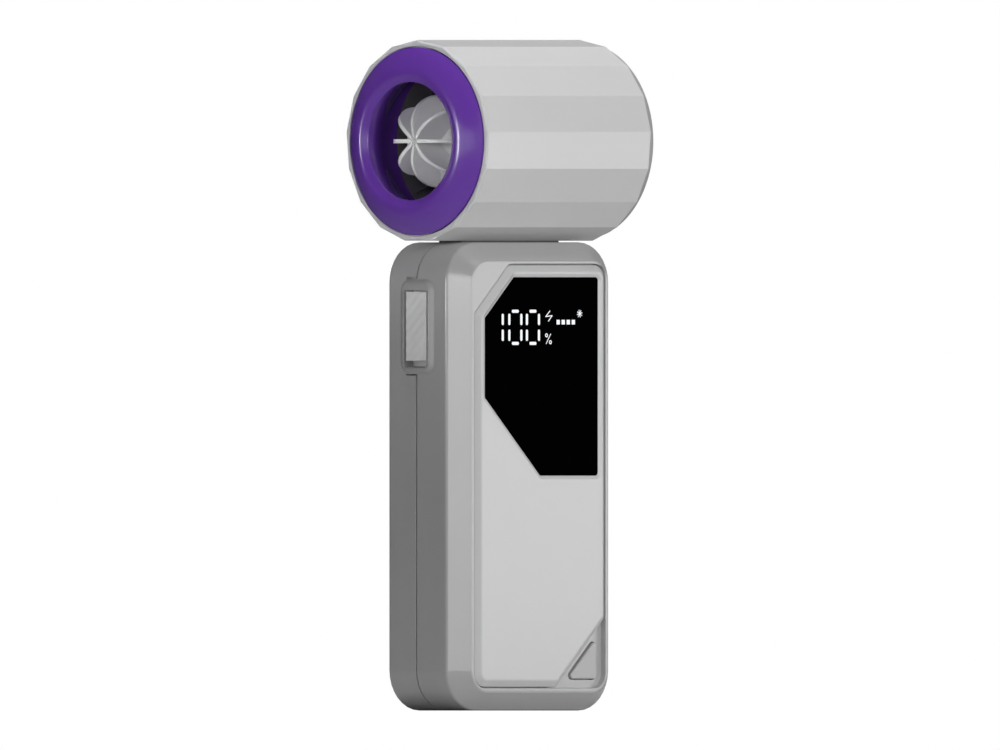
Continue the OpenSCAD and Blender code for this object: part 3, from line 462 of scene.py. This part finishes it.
GAP = Vector((PLATE_GAP, 0.0, PLATE_GAP))
RECESS = cut_corners(PLATE_LOW - GAP, PLATE_HIGH + GAP, top_left=RECESS_CUT)
PLATE = cut_corners(PLATE_LOW, PLATE_HIGH, top_left=PLATE_CUT, low_right=BUTTON_CUT)
GLASS = cut_corners(GLASS_LOW, GLASS_HIGH, top_left=GLASS_TOP_CUT, low_left=GLASS_LOW_CUT)


def button_corners():
    """The button's triangle without its rounding, from the pad's own box, which its flange fills."""
    low, high = span("mode_button")
    flange = BUTTON_FLANGE
    half_angle_run = 1 / math.tan(math.radians(22.5))
    point = (BUTTON_RADII[0] + flange) * (half_angle_run - 1)
    right, bottom = high.x - flange, low.z + flange
    left = low.x - point + flange * half_angle_run
    return [(left, bottom), (right, bottom), (right, bottom + right - left)]


BUTTON = button_corners()


def post(solid, spot, profile):
    """A round post or hole that faces the front, by a profile of (radius, y, cut)."""
    return solid.turn(profile, facing_front, centre=spot, steps=40)


CASE_SCREWS = [(-19.0, 97.5), (19.0, 97.5), (-7.4, 7.5), (7.4, 7.5)]
BOARD_SCREWS = [(-19.4, 32.0), (19.4, 32.0), (-19.4, 66.0), (19.4, 66.0)]


def block(low, high):
    """A box as a solid of its own, to cut with."""
    solid = Solid()
    solid.box(low, high)
    return solid


def wall_openings():
    """What is cut out of both shells: the slide switch's window and the neck's slot."""
    half = 4.65
    reach = 1.2
    window = block(
        (FRONT_LOW.x - 2, -half, COLLAR_LOW.z + reach), (FRONT_LOW.x + WALL + 1.2, half, COLLAR_HIGH.z - reach)
    )
    slot = block((-NECK_HALF.x, -NECK_HALF.y, FRONT_HIGH.z - 3), (NECK_HALF.x, NECK_HALF.y, FRONT_HIGH.z + 2))
    return [window, slot]


def port_opening():
    """The rounded slot in the foot for the charging plug."""
    low, high = span("usb_shell")
    play = 0.22
    half_t = (high.y - low.y) / 2 + play
    mid_y = (high.y + low.y) / 2
    corners = [
        (low.x - play, mid_y - half_t), (high.x + play, mid_y - half_t),
        (high.x + play, mid_y + half_t), (low.x - play, mid_y + half_t),
    ]
    solid = Solid()
    slot = outline(corners, (half_t - MIN_RADIUS,) * 4)
    first, last = solid.loft([[(p.x, p.y, z) for p in slot] for z in (-1.0, WALL + 1)])
    solid.fill(first)
    solid.fill(last)
    return solid


def seam_turns():
    """Where the seam meets the switch's collar it turns towards the back and follows the collar's ends."""
    reach, width, depth = 3.1, 0.3, WALL + 0.1
    turns = []
    for z in (COLLAR_LOW.z + 0.4, COLLAR_HIGH.z - 0.4):
        low = (FRONT_LOW.x - 1, SEAM_FRONT - 0.1, z - width / 2)
        high = (FRONT_LOW.x + depth, SEAM_REAR + reach, z + width / 2)
        turns.append(block(low, high))
    return turns


def front_shell():
    """The front half: a rounded rim, the plate's recess with its openings, and the screw posts inside."""
    seam, front = SEAM_FRONT, FRONT_LOW.y
    solid = Solid()
    _, rim_outer = solid.sweep(BODY, BODY_RADII, [
        (WALL, seam, 0), (0, seam, 0.07), (0, front + BEVEL, 0.5), (BEVEL, front, 0.28),
        (BEVEL + 0.4, front, 0),
    ], facing_front)
    rim_inner, floor_edge = solid.sweep(RECESS, RECESS_RADII, [
        (-0.16, front, 0), (0, front, 0.14), (0, RECESS_Y, 0.2), (0.4, RECESS_Y, 0),
    ], facing_front)
    solid.fill(rim_outer, rim_inner)
    clear = BUTTON_CLEARANCE
    key_front, key_back = solid.sweep(BUTTON, BUTTON_RADII, [
        (-clear - 0.14, RECESS_Y, 0), (-clear, RECESS_Y, 0.1), (-clear, FLOOR_BACK, 0),
    ], facing_front)
    play = 0.3
    window = [
        (MODULE_LOW.x - play, MODULE_LOW.z - play), (MODULE_HIGH.x + play, MODULE_LOW.z - play),
        (MODULE_HIGH.x + play, MODULE_HIGH.z + play), (MODULE_LOW.x - play, MODULE_HIGH.z + play),
    ]
    through = [(0, RECESS_Y, 0), (0, FLOOR_BACK, 0)]
    window_front, window_back = solid.sweep(window, (0.3,) * 4, through, facing_front)
    solid.fill(floor_edge, key_front, window_front)
    _, wall_edge = solid.sweep(BODY, BODY_RADII, [
        (WALL, seam, 0), (WALL, FLOOR_BACK + CAVITY_BEVEL_FRONT, 0.3),
        (WALL + CAVITY_BEVEL_FRONT, FLOOR_BACK, 0.3), (WALL + CAVITY_BEVEL_FRONT + 0.5, FLOOR_BACK, 0),
    ], facing_front)
    feet = []
    case_hole_end, board_seat, board_hole_end = -7.7, -8.2, -10.2
    for spot in CASE_SCREWS:
        foot, end = post(solid, spot, [
            (2.35, FLOOR_BACK, 0), (2.2, FLOOR_BACK + 0.2, 0), (2.2, seam, 0.15), (1.03, seam, 0.1),
            (1.03, case_hole_end, 0),
        ])
        solid.fill(end)
        feet.append(foot)
    for spot in BOARD_SCREWS:
        foot, end = post(solid, spot, [
            (1.7, FLOOR_BACK, 0), (1.7, board_seat, 0.1), (0.83, board_seat, 0), (0.83, board_hole_end, 0),
        ])
        solid.fill(end)
        feet.append(foot)
    solid.fill(wall_edge, key_back, window_back, *feet)
    obj = solid.make("front_case")
    for cutter in wall_openings() + [port_opening()]:
        cut_away(obj, cutter)
    shade(obj, 35.0)
    return dress(obj, "front_shell")


def rear_shell():
    """The back half, with a tongue inside the front half's wall, left out at the switch and the neck."""
    seam, back = SEAM_REAR, REAR_HIGH.y
    inner, tongue = back - WALL, REAR_LOW.y
    lap = WALL + TONGUE_PLAY
    solid = Solid()
    _, outer_edge = solid.sweep(BODY, BODY_RADII, [
        (lap, tongue, 0), (lap, seam, 0), (0, seam, 0.07), (0, back - BEVEL, 0.5), (BEVEL, back, 0.5),
        (BEVEL + 1, back, 0),
    ], facing_front)
    _, inner_edge = solid.sweep(BODY, BODY_RADII, [
        (lap, tongue, 0), (WALL + TONGUE_T, tongue, 0), (WALL + TONGUE_T, seam + WALL, 0),
        (WALL, seam + WALL, 0), (WALL, inner - CAVITY_BEVEL_REAR, 0.3), (WALL + CAVITY_BEVEL_REAR, inner, 0.3),
        (WALL + CAVITY_BEVEL_REAR + 0.5, inner, 0),
    ], facing_front)
    mouths, feet = [], []
    screw_seat = back - 2.2
    for spot in CASE_SCREWS:
        mouth, foot = post(solid, spot, [
            (2.4, back, 0), (2.2, back, 0.15), (2.2, screw_seat, 0.1), (1.2, screw_seat, 0), (1.2, seam, 0.1),
            (3.0, seam, 0.15), (3.0, inner, 0),
        ])
        mouths.append(mouth)
        feet.append(foot)
    solid.fill(outer_edge, *mouths)
    solid.fill(inner_edge, *feet)
    obj = solid.make("rear_case")
    side, top = FRONT_LOW.x + WALL - 0.02, FRONT_HIGH.z - WALL + 0.02
    gap_front, gap_back, neck_gap_half = -3, seam + WALL - 0.02, 18.3
    lip_gaps = [
        block((side, gap_front, COLLAR_LOW.z - 1), (side + 3, gap_back, COLLAR_HIGH.z + 1)),
        block((-neck_gap_half, gap_front, top - 3.4), (neck_gap_half, gap_back, top)),
    ]
    for cutter in lip_gaps + wall_openings() + seam_turns():
        cut_away(obj, cutter)
    shade(obj, 35.0)
    return dress(obj, "rear_shell")


def front_plate():
    """The bevelled plate, with a sloped window and a ledge that the glass sits on."""
    face, back = PLATE_LOW.y, PLATE_HIGH.y
    glass_front, glass_back = GLASS_LOW.y, GLASS_HIGH.y
    solid = Solid()
    bottom, face_edge = solid.sweep(PLATE, PLATE_RADII, [
        (0.12, back, 0), (0, back - 0.12, 0), (0, face + PLATE_BEVEL_DEPTH, 0.22), (PLATE_BEVEL, face, 0.3),
        (PLATE_BEVEL + 0.4, face, 0),
    ], facing_front)
    window, ledge = solid.sweep(GLASS, GLASS_RADII, [
        (-GLASS_SLOPE - 0.12, face, 0), (-GLASS_SLOPE, face, 0.1), (-GLASS_PLAY, glass_front, 0),
        (-GLASS_PLAY, glass_back, 0), (GLASS_LEDGE, glass_back, 0), (GLASS_LEDGE, back, 0),
    ], facing_front)
    solid.fill(face_edge, window)
    solid.fill(bottom, ledge)
    return dress(solid.make("display_plate"), "front_plate")


def mode_button():
    """The triangular pad, with a flange behind the recess floor and a stem down to the tact switch."""
    low, high = span("mode_button")
    flange_front, flange_back = FLOOR_BACK + 0.2, FLOOR_BACK + 0.7
    solid = Solid()
    face, back = solid.sweep(BUTTON, BUTTON_RADII, [
        (0.45, low.y, 0), (0, low.y, 0.3), (0, flange_front, 0), (-BUTTON_FLANGE, flange_front, 0),
        (-BUTTON_FLANGE, flange_back, 0), (0.3, flange_back, 0),
    ], facing_front)
    solid.fill(face)
    solid.fill(back)
    stem_low, stem_high = span("tact_switch")
    spot = ((stem_low.x + stem_high.x) / 2, (stem_low.z + stem_high.z) / 2)
    end, root = solid.turn([(0.9, high.y, 0), (0.9, flange_back - 0.1, 0)], facing_front, spot, 32)
    solid.fill(end)
    solid.fill(root)
    return dress(solid.make("mode_key"), "mode_button", "mode_key")


# ---------- slide switch ----------

def switch_collar():
    """Soft-edged frame round the slide switch, with the flange and rails that hold it in the handle."""
    side, top = FRONT_LOW.x, COLLAR_LOW.x
    half, window_half, foot = 5.2, 3.85, 0.25
    z_low, z_high = COLLAR_LOW.z + 0.55 + foot, COLLAR_HIGH.z - 0.55 - foot
    base = [(-half, z_low), (half, z_low), (half, z_high), (-half, z_high)]
    window = [
        (-window_half, WINDOW_Z[0]), (window_half, WINDOW_Z[0]),
        (window_half, WINDOW_Z[1]), (-window_half, WINDOW_Z[1]),
    ]
    slope = 0.75
    flange = side + WALL + 0.25
    flange_end = flange + 0.55
    base_radii, in_wall = (2.6,) * 4, 0.85
    solid = Solid()
    _, top_edge = solid.sweep(base, base_radii, [
        (in_wall, flange, 0), (in_wall, side, 0), (-foot, side - 0.02, 0), (0.05, side - 0.12, 0.2),
        (slope, top, 0.5), (slope + 0.5, top, 0),
    ], facing_side)
    through = [(-0.25, top, 0), (0, top, 0.18), (0, flange_end, 0)]
    mouth, throat = solid.sweep(window, (0.5,) * 4, through, facing_side)
    solid.fill(top_edge, mouth)
    rim_half, rim_low, rim_high = 5.9, z_low - 0.2, z_high + 0.2
    rim = [(-rim_half, rim_low), (rim_half, rim_low), (rim_half, rim_high), (-rim_half, rim_high)]
    rim_outer, rim_inner = solid.sweep(rim, (0.6,) * 4, [(0, flange, 0), (0, flange_end, 0)], facing_side)
    solid.fill(rim_outer, solid.ring(facing_side(outline(base, base_radii, in_wall), flange)))
    solid.fill(rim_inner, throat)
    rail_half, (rail_low, rail_high) = 0.45, RAIL_Z
    for y in (rail_half - rim_half, rim_half - rail_half):
        solid.box((flange_end, y - rail_half, rail_low), (COLLAR_HIGH.x, y + rail_half, rail_high))
    return dress(solid.make("switch_bezel"), "switch_collar")


def switch_knob():
    """The thumb piece: diagonal ridges on a cap, a stem, a flange and the pin into the switch."""
    face_x, cap_back, stem_end, flange_end = KNOB_LOW.x, -25.0, -23.4, -22.6
    half = 3.25
    z_low, z_high = KNOB_LOW.z + 0.9, KNOB_HIGH.z - 0.9
    pitch, depth, edge = 1.85, 0.1, 0.2
    across, up = 42, 106
    solid = Solid()

    def height(y, z):
        wave = 0.5 + 0.5 * math.cos(math.tau * (y + z) / math.sqrt(2) / pitch)
        margin = min(half - abs(y), z - z_low, z_high - z)
        drop = max(0.0, 1 - margin / edge)
        return face_x + depth * wave ** 1.3 + edge * 0.6 * drop ** 2

    def rows(x_of):
        ys = [-half + 2 * half * i / across for i in range(across + 1)]
        zs = [z_low + (z_high - z_low) * j / up for j in range(up + 1)]
        return [[(x_of(y, z), y, z) for y in ys] for z in zs]

    grid = [solid.ring(row) for row in rows(height)]
    for a, b in zip(grid, grid[1:]):
        solid.faces += [(a[i], a[i + 1], b[i + 1], b[i]) for i in range(across)]
    right, left = [row[-1] for row in grid[:-1]], [row[0] for row in grid[:0:-1]]
    border = grid[0][:-1] + right + grid[-1][:0:-1] + left
    back = solid.ring([(cap_back, *solid.points[i][1:]) for i in border])
    solid.join(border, back)
    solid.fill(back)
    solid.box((cap_back, -half + 0.25, z_low + 0.3), (stem_end + 0.01, half - 0.25, z_high - 0.3))
    solid.box((stem_end, KNOB_LOW.y, KNOB_LOW.z - 0.4), (flange_end, KNOB_HIGH.y, KNOB_HIGH.z))
    solid.box((flange_end, -0.9, PIN_Z[0]), (KNOB_HIGH.x, 0.9, PIN_Z[1]))
    return dress(solid.make("slide_thumb", 50.0), "switch_knob", "slide_knob")


# ---------- barrel ----------

HEAD_LOW, HEAD_HIGH = span("head_shell")
HEAD_R = HEAD_HIGH.z - AXIS_Z
RING_LOW, RING_HIGH = span("nozzle_ring")
NOZZLE_R = RING_HIGH.z - AXIS_Z


def head_shell():
    """The faceted barrel: a 17-sided outside with crisp, barely rounded edges, and a round bore."""
    corners = [
        HEAD_R * Vector((-math.sin(a), math.cos(a)))
        for a in (math.tau * i / HEAD_SIDES for i in range(HEAD_SIDES))
    ]
    front, rear = HEAD_LOW.x, HEAD_HIGH.x
    seat_r = NOZZLE_R + RING_GAP
    solid = Solid()
    front_edge, rear_edge = solid.sweep(corners, (0.5,) * HEAD_SIDES, [
        (0.5, front, 0), (0.35, front, 0.1), (0, front + 0.35, 0.1), (0, rear - 0.35, 0.1), (0.35, rear, 0.1),
        (0.5, rear, 0),
    ], facing_along_axis)
    mouth, back = solid.turn([
        (seat_r + 0.1, front, 0), (seat_r, front, 0.08), (seat_r, front + SEAT_DEPTH, 0),
        (HEAD_WALL_R, front + SEAT_DEPTH, 0), (HEAD_WALL_R, rear, 0.1), (HEAD_WALL_R + 0.15, rear, 0),
    ], facing_along_axis)
    solid.fill(front_edge, mouth)
    solid.fill(rear_edge, back)
    return dress(solid.make("barrel", 15.0), "head_shell")


def quarter(centre, first, second, steps):
    """Points of a quarter ellipse from centre + first to centre + second, as (radius, x, no cut)."""
    points = []
    for k in range(steps + 1):
        a = math.radians(90 * k / steps)
        p = Vector(centre) + Vector(first) * math.cos(a) + Vector(second) * math.sin(a)
        points.append((p.x, p.y, 0))
    return points


def nozzle_ring():
    """Glossy flared ring: a face that steepens outwards, a conical lip and a wall that widens inwards."""
    crest_x, back_x = RING_LOW.x, RING_HIGH.x
    edge_x = HEAD_LOW.x - 0.3
    crest_r, outer_r = 15.4, NOZZLE_R - 0.05
    skirt_r, fit_r = HEAD_WALL_R - 1.3, HEAD_WALL_R - 0.1
    throat_x = crest_x + 1.15
    seat_x = HEAD_LOW.x + SEAT_DEPTH - 0.05
    face_steps, flare_steps = 28, 24
    face = []
    for i in range(face_steps, 4, -1):
        s = i / face_steps
        face.append((crest_r + (outer_r - crest_r) * s, crest_x + (edge_x - crest_x) * s ** 1.6, 0))
    lip = [(crest_r - 0.12, crest_x, 0.55), (THROAT_R, throat_x - 0.08, 0.22)]
    flare = []
    for i in range(1, flare_steps + 1):
        s = i / flare_steps
        r = THROAT_R + (DUCT_R - THROAT_R) * (1 - math.cos(math.pi * s)) / 2
        flare.append((r, throat_x + (back_x - throat_x) * s, 0))
    skin = 1.15
    outside = [(r + skin, x, 0) for r, x, _ in reversed(flare[3:])]
    hollow = [
        (crest_r, crest_x + 1.6, 0), (crest_r + 2.6, crest_x + 1.8, 0), (skirt_r, edge_x - 0.2, 0),
        (skirt_r, seat_x + 4, 0), (fit_r, seat_x + 4, 0), (fit_r, seat_x, 0), (outer_r, seat_x, 0),
        (outer_r, edge_x, 0),
    ]
    solid = Solid()
    solid.turn(face + lip + flare + outside + hollow, facing_along_axis, steps=192)
    return dress(solid.make("nozzle", 35.0), "nozzle_ring")


SPIN_LOW, SPIN_HIGH = span("spinner")
HUB_R = SPIN_HIGH.z - AXIS_Z
FINS = 8


def inset_loop(points, distance):
    """A closed loop moved inwards, by the averaged normals of its sides."""
    moved = []
    for i, p in enumerate(points):
        before = inward(points[i - 1], p)
        after = inward(p, points[(i + 1) % len(points)])
        moved.append(p + (before + after) / (1 + before.dot(after)) * distance)
    return moved


def fin_ring(points, angle, offset):
    """Points of (radius, x), turned to an angle round the axis and moved off it sideways."""
    out = Vector((math.cos(angle), math.sin(angle)))
    side = Vector((-math.sin(angle), math.cos(angle)))
    spots = [(p.y, out * p.x + side * offset) for p in points]
    return [(x, q.x, AXIS_Z + q.y) for x, q in spots]


def spinner():
    """Flat radial fins under a domed edge, on the hub's front disc."""
    tip_x, crest_x, crest_r, base_x = SPIN_LOW.x + 0.55, SPIN_LOW.x, 4.3, -19.0
    rim_r = HUB_R - 0.15
    dish = [
        Vector((crest_r * i / 8, crest_x + (tip_x - crest_x) * (1 + math.cos(math.pi * i / 8)) / 2))
        for i in range(8)
    ]
    dome = quarter((crest_r, base_x), (0, crest_x - base_x), (rim_r - crest_r, 0), 22)
    shoulder = [Vector(p[:2]) for p in dome]
    edge = dish + shoulder
    loop = edge + [Vector((-p.x, p.y)) for p in reversed(edge[1:])]
    half_t, soft = 0.47, 0.2
    start = soft + 0.1
    profile = soften([(start, -half_t, 0), (0, -half_t, soft), (0, half_t, soft), (start, half_t, 0)])
    solid = Solid()
    for i in range(FINS // 2):
        angle = math.tau * i / FINS
        first, last = solid.loft([fin_ring(inset_loop(loop, -p.x), angle, p.y) for p in profile])
        solid.fill(first)
        solid.fill(last)
    front, back = solid.turn([
        (0.4, tip_x + 0.35, 0), (0.9, tip_x + 0.35, 0.1), (0.9, base_x - 0.6, 0.5),
        (HUB_R, base_x - 0.01, 0.15), (HUB_R, SPIN_HIGH.x, 0),
    ], facing_along_axis)
    solid.fill(front)
    solid.fill(back)
    return dress(solid.make("finned_spinner", 40.0), "spinner", "rotor")


HUB_LOW, HUB_HIGH = span("impeller")
BLADES = 11
BLADE_STEPS = 12


def blade_row(start, sign, s):
    """One side of a blade's section: s runs from the hub at 0 to the tip at 1, and sign picks the side."""
    mid_x, chord = -8.8, 10.5
    root_r, tip_r = HUB_R - 0.3, HUB_HIGH.z - AXIS_Z
    r = root_r + (tip_r - root_r) * s
    pitch = math.radians(52 - 20 * s)
    row = []
    for k in range(BLADE_STEPS + 1):
        c = k / BLADE_STEPS
        thick = 0.55 * math.sqrt(math.sin(math.pi * (0.04 + 0.92 * c))) * (1 - 0.35 * s)
        camber = 0.9 * math.sin(math.pi * c)
        u = (c - 0.5) * chord
        v = camber + sign * thick
        x = mid_x + u * math.cos(pitch) + v * math.sin(pitch)
        angle = start + (u * math.sin(pitch) - v * math.cos(pitch)) / r
        row.append((x, r * math.cos(angle), AXIS_Z + r * math.sin(angle)))
    return row


def blade(solid, start):
    """A twisted, cambered blade: its two sides, the strips along their edges, and a face at each end."""
    sections = 8
    upper, lower = [
        [solid.ring(blade_row(start, sign, j / sections)) for j in range(sections + 1)] for sign in (1, -1)
    ]
    for rows in (upper, lower):
        for a, b in zip(rows, rows[1:]):
            solid.faces += [(a[k], a[k + 1], b[k + 1], b[k]) for k in range(BLADE_STEPS)]
    loops = [up + low[::-1] for up, low in zip(upper, lower)]
    for a, b in zip(loops, loops[1:]):
        for k in (BLADE_STEPS, 2 * BLADE_STEPS + 1):
            m = (k + 1) % len(a)
            solid.faces.append((a[k], a[m], b[m], b[k]))
    solid.faces += [tuple(loops[0]), tuple(loops[-1])]


def impeller():
    """Hub cup with twisted blades."""
    bore_r, inner_r = 1.01, HUB_R - 1.1
    cup_front = HUB_LOW.x + 1.4
    solid = Solid()
    solid.turn([
        (bore_r, cup_front, 0), (bore_r, HUB_LOW.x, 0), (HUB_R, HUB_LOW.x, 0.15), (HUB_R, HUB_HIGH.x, 0.2),
        (inner_r, HUB_HIGH.x, 0), (inner_r, cup_front, 0), (bore_r, cup_front, 0),
    ], facing_along_axis)
    for i in range(BLADES):
        blade(solid, math.tau * i / BLADES)
    return dress(solid.make("fan_rotor", 40.0), "impeller", "rotor")


GRILLE_LOW, GRILLE_HIGH = span("rear_grille")


def rear_grille():
    """Rear ring with rounded edges, concentric bars and spokes."""
    back = GRILLE_HIGH.x
    outer = GRILLE_HIGH.z - AXIS_Z
    seat = HEAD_HIGH.x + 0.02
    inner = DUCT_R + 0.2
    solid = Solid()
    solid.turn([
        (inner, GRILLE_LOW.x, 0), (HEAD_WALL_R - 0.1, GRILLE_LOW.x, 0), (HEAD_WALL_R - 0.1, seat, 0),
        (outer, seat, 0.05), (outer, back, 0.45), (inner, back, 0.4), (inner, GRILLE_LOW.x, 0),
    ], facing_along_axis)
    bar, depth = 0.45, 1.3
    top = back - 0.2
    low = top - depth
    for r in (6.4, 9.4, 12.4, 15.4):
        solid.turn([
            (r, low, 0), (r + bar, low, 0.1), (r + bar, top, 0.25), (r - bar, top, 0.25), (r - bar, low, 0.1),
            (r, low, 0),
        ], facing_along_axis)
    centre, under = solid.turn([
        (0.4, top + 0.1, 0), (4.0, top, 0.4), (4.0, low, 0), (0.4, low, 0),
    ], facing_along_axis)
    solid.fill(centre)
    solid.fill(under)
    spokes = 12
    section = outline([(-bar, -depth), (bar, -depth), (bar, 0), (-bar, 0)], (0.05, 0.05, 0.2, 0.2))
    for i in range(spokes):
        turn = Matrix.Rotation(math.tau * (i / spokes + 15 / 360), 2)
        rings = []
        for r in (3.6, inner + 0.5):
            spots = [(top - 0.1 + p.y, turn @ Vector((r, p.x))) for p in section]
            rings.append([(x, q.x, AXIS_Z - q.y) for x, q in spots])
        first, last = solid.loft(rings)
        solid.fill(first)
        solid.fill(last)
    return dress(solid.make("intake_grille", 35.0), "rear_grille")


# ---------- CAD nodes that keep their shape ----------

def finish_cad_nodes():
    """Materials for every CAD node that still shows."""
    for name, obj in frame["nodes"].items():
        if not obj.hide_render:
            obj.data.materials.clear()
            obj.data.materials.append(MATERIALS[SLOTS[name]])


# ---------- stage ----------

def floor():
    """A plain pale sheet that the fan stands on."""
    side = 3.0
    mesh = bpy.data.meshes.new("floor")
    corners = [(-side, -side, 0), (side, -side, 0), (side, side, 0), (-side, side, 0)]
    mesh.from_pydata(corners, [], [(0, 1, 2, 3)])
    obj = bpy.data.objects.new("floor", mesh)
    bpy.context.scene.collection.objects.link(obj)
    obj.data.materials.append(plastic("floor_paper", (0.58, 0.58, 0.58), 0.9, grain=0.002, depth=0.02))


def area_light(name, azimuth, elevation, distance, size, energy, aim=0.09, spread=180.0, aside=0.0):
    """A softbox around the object; azimuth 0 stands in front of the display, 90 to its right.

    It faces a point at height aim, moved along X by aside, and spread narrows its beam.
    """
    a, e = math.radians(azimuth), math.radians(elevation)
    out = Vector((math.sin(a) * math.cos(e), -math.cos(a) * math.cos(e), math.sin(e)))
    data = bpy.data.lights.new(name, "AREA")
    data.shape = "RECTANGLE"
    data.size, data.size_y = size
    data.energy = energy
    data.spread = math.radians(spread)
    obj = bpy.data.objects.new(name, data)
    bpy.context.scene.collection.objects.link(obj)
    obj.location = Vector((aside, 0, aim)) + out * distance
    obj.rotation_euler = (-out).to_track_quat("-Z", "Y").to_euler()
    obj.visible_camera = False


def lights():
    """Broad boxes for the display and the corner, small ones for the nozzle's highlights, and fills."""
    area_light("key_box", -2, 4, 0.9, (0.45, 0.45), 3.05, aim=0.07)
    area_light("corner_box", -45, 0, 1.2, (0.2, 0.54), 1.5, aim=0.27)
    area_light("sheen_strip", 45, 0, 0.5, (0.3, 0.13), 0.36, aim=0.07)
    area_light("nozzle_box", -92, 0, 0.6, (0.6, 0.16), 0.34, aim=0.13)
    area_light("nozzle_glint", -105, 0, 0.3, (0.06, 0.08), 0.0038, aim=0.131, spread=20.0, aside=-0.03)
    area_light("nozzle_fill", -52, 3, 0.6, (0.05, 0.05), 0.0009, aim=0.129, spread=5.0, aside=-0.03)
    area_light("overhead_front", 0, 75, 0.45, (0.25, 0.25), 0.085, aim=0.13, spread=60.0)
    area_light("overhead_back", 180, 80, 0.45, (0.25, 0.25), 0.13, aim=0.13, spread=60.0)
    area_light("facet_box", 112, 39, 0.7, (0.3, 0.3), 0.06, aim=0.13)
    area_light("upper_box", 0, 50, 0.9, (0.5, 0.5), 0.24)
    area_light("back_box", 130, 25, 1.0, (0.8, 0.8), 0.5)


def world():
    """White to the camera, and a dim even fill for everything else."""
    made = bpy.data.worlds.new("studio")
    bpy.context.scene.world = made
    made.use_nodes = True
    tree = made.node_tree
    background = tree.nodes["Background"]
    background.inputs["Color"].default_value = (1.0, 1.0, 1.0, 1.0)
    background.inputs["Strength"].default_value = 0.02
    seen = add(tree, "ShaderNodeBackground", Strength=1.0)
    seen.inputs["Color"].default_value = (1.0, 1.0, 1.0, 1.0)
    rays = tree.nodes.new("ShaderNodeLightPath")
    choose = tree.nodes.new("ShaderNodeMixShader")
    link = tree.links.new
    link(rays.outputs["Is Camera Ray"], choose.inputs[0])
    link(background.outputs[0], choose.inputs[1])
    link(seen.outputs[0], choose.inputs[2])
    link(choose.outputs[0], tree.nodes["World Output"].inputs["Surface"])


def camera():
    """A long view along the diagonal between the display and the nozzle, level with the fan."""
    data = bpy.data.cameras.new("camera")
    data.type = "ORTHO"
    data.ortho_scale = 0.227
    obj = bpy.data.objects.new("camera", data)
    bpy.context.scene.collection.objects.link(obj)
    back = Vector((-1, -1, 0)).normalized()
    target = Vector((0.0002, -0.0002, cad_high.z / 2 + 0.00005))
    obj.location = target + back * 1.0
    obj.rotation_euler = (-back).to_track_quat("-Z", "Y").to_euler()
    bpy.context.scene.camera = obj
    bpy.context.scene.view_settings.view_transform = "Standard"


camera()
front_shell()
rear_shell()
front_plate()
mode_button()
switch_collar()
switch_knob()
head_shell()
nozzle_ring()
spinner()
impeller()
rear_grille()
finish_cad_nodes()
floor()
lights()
world()
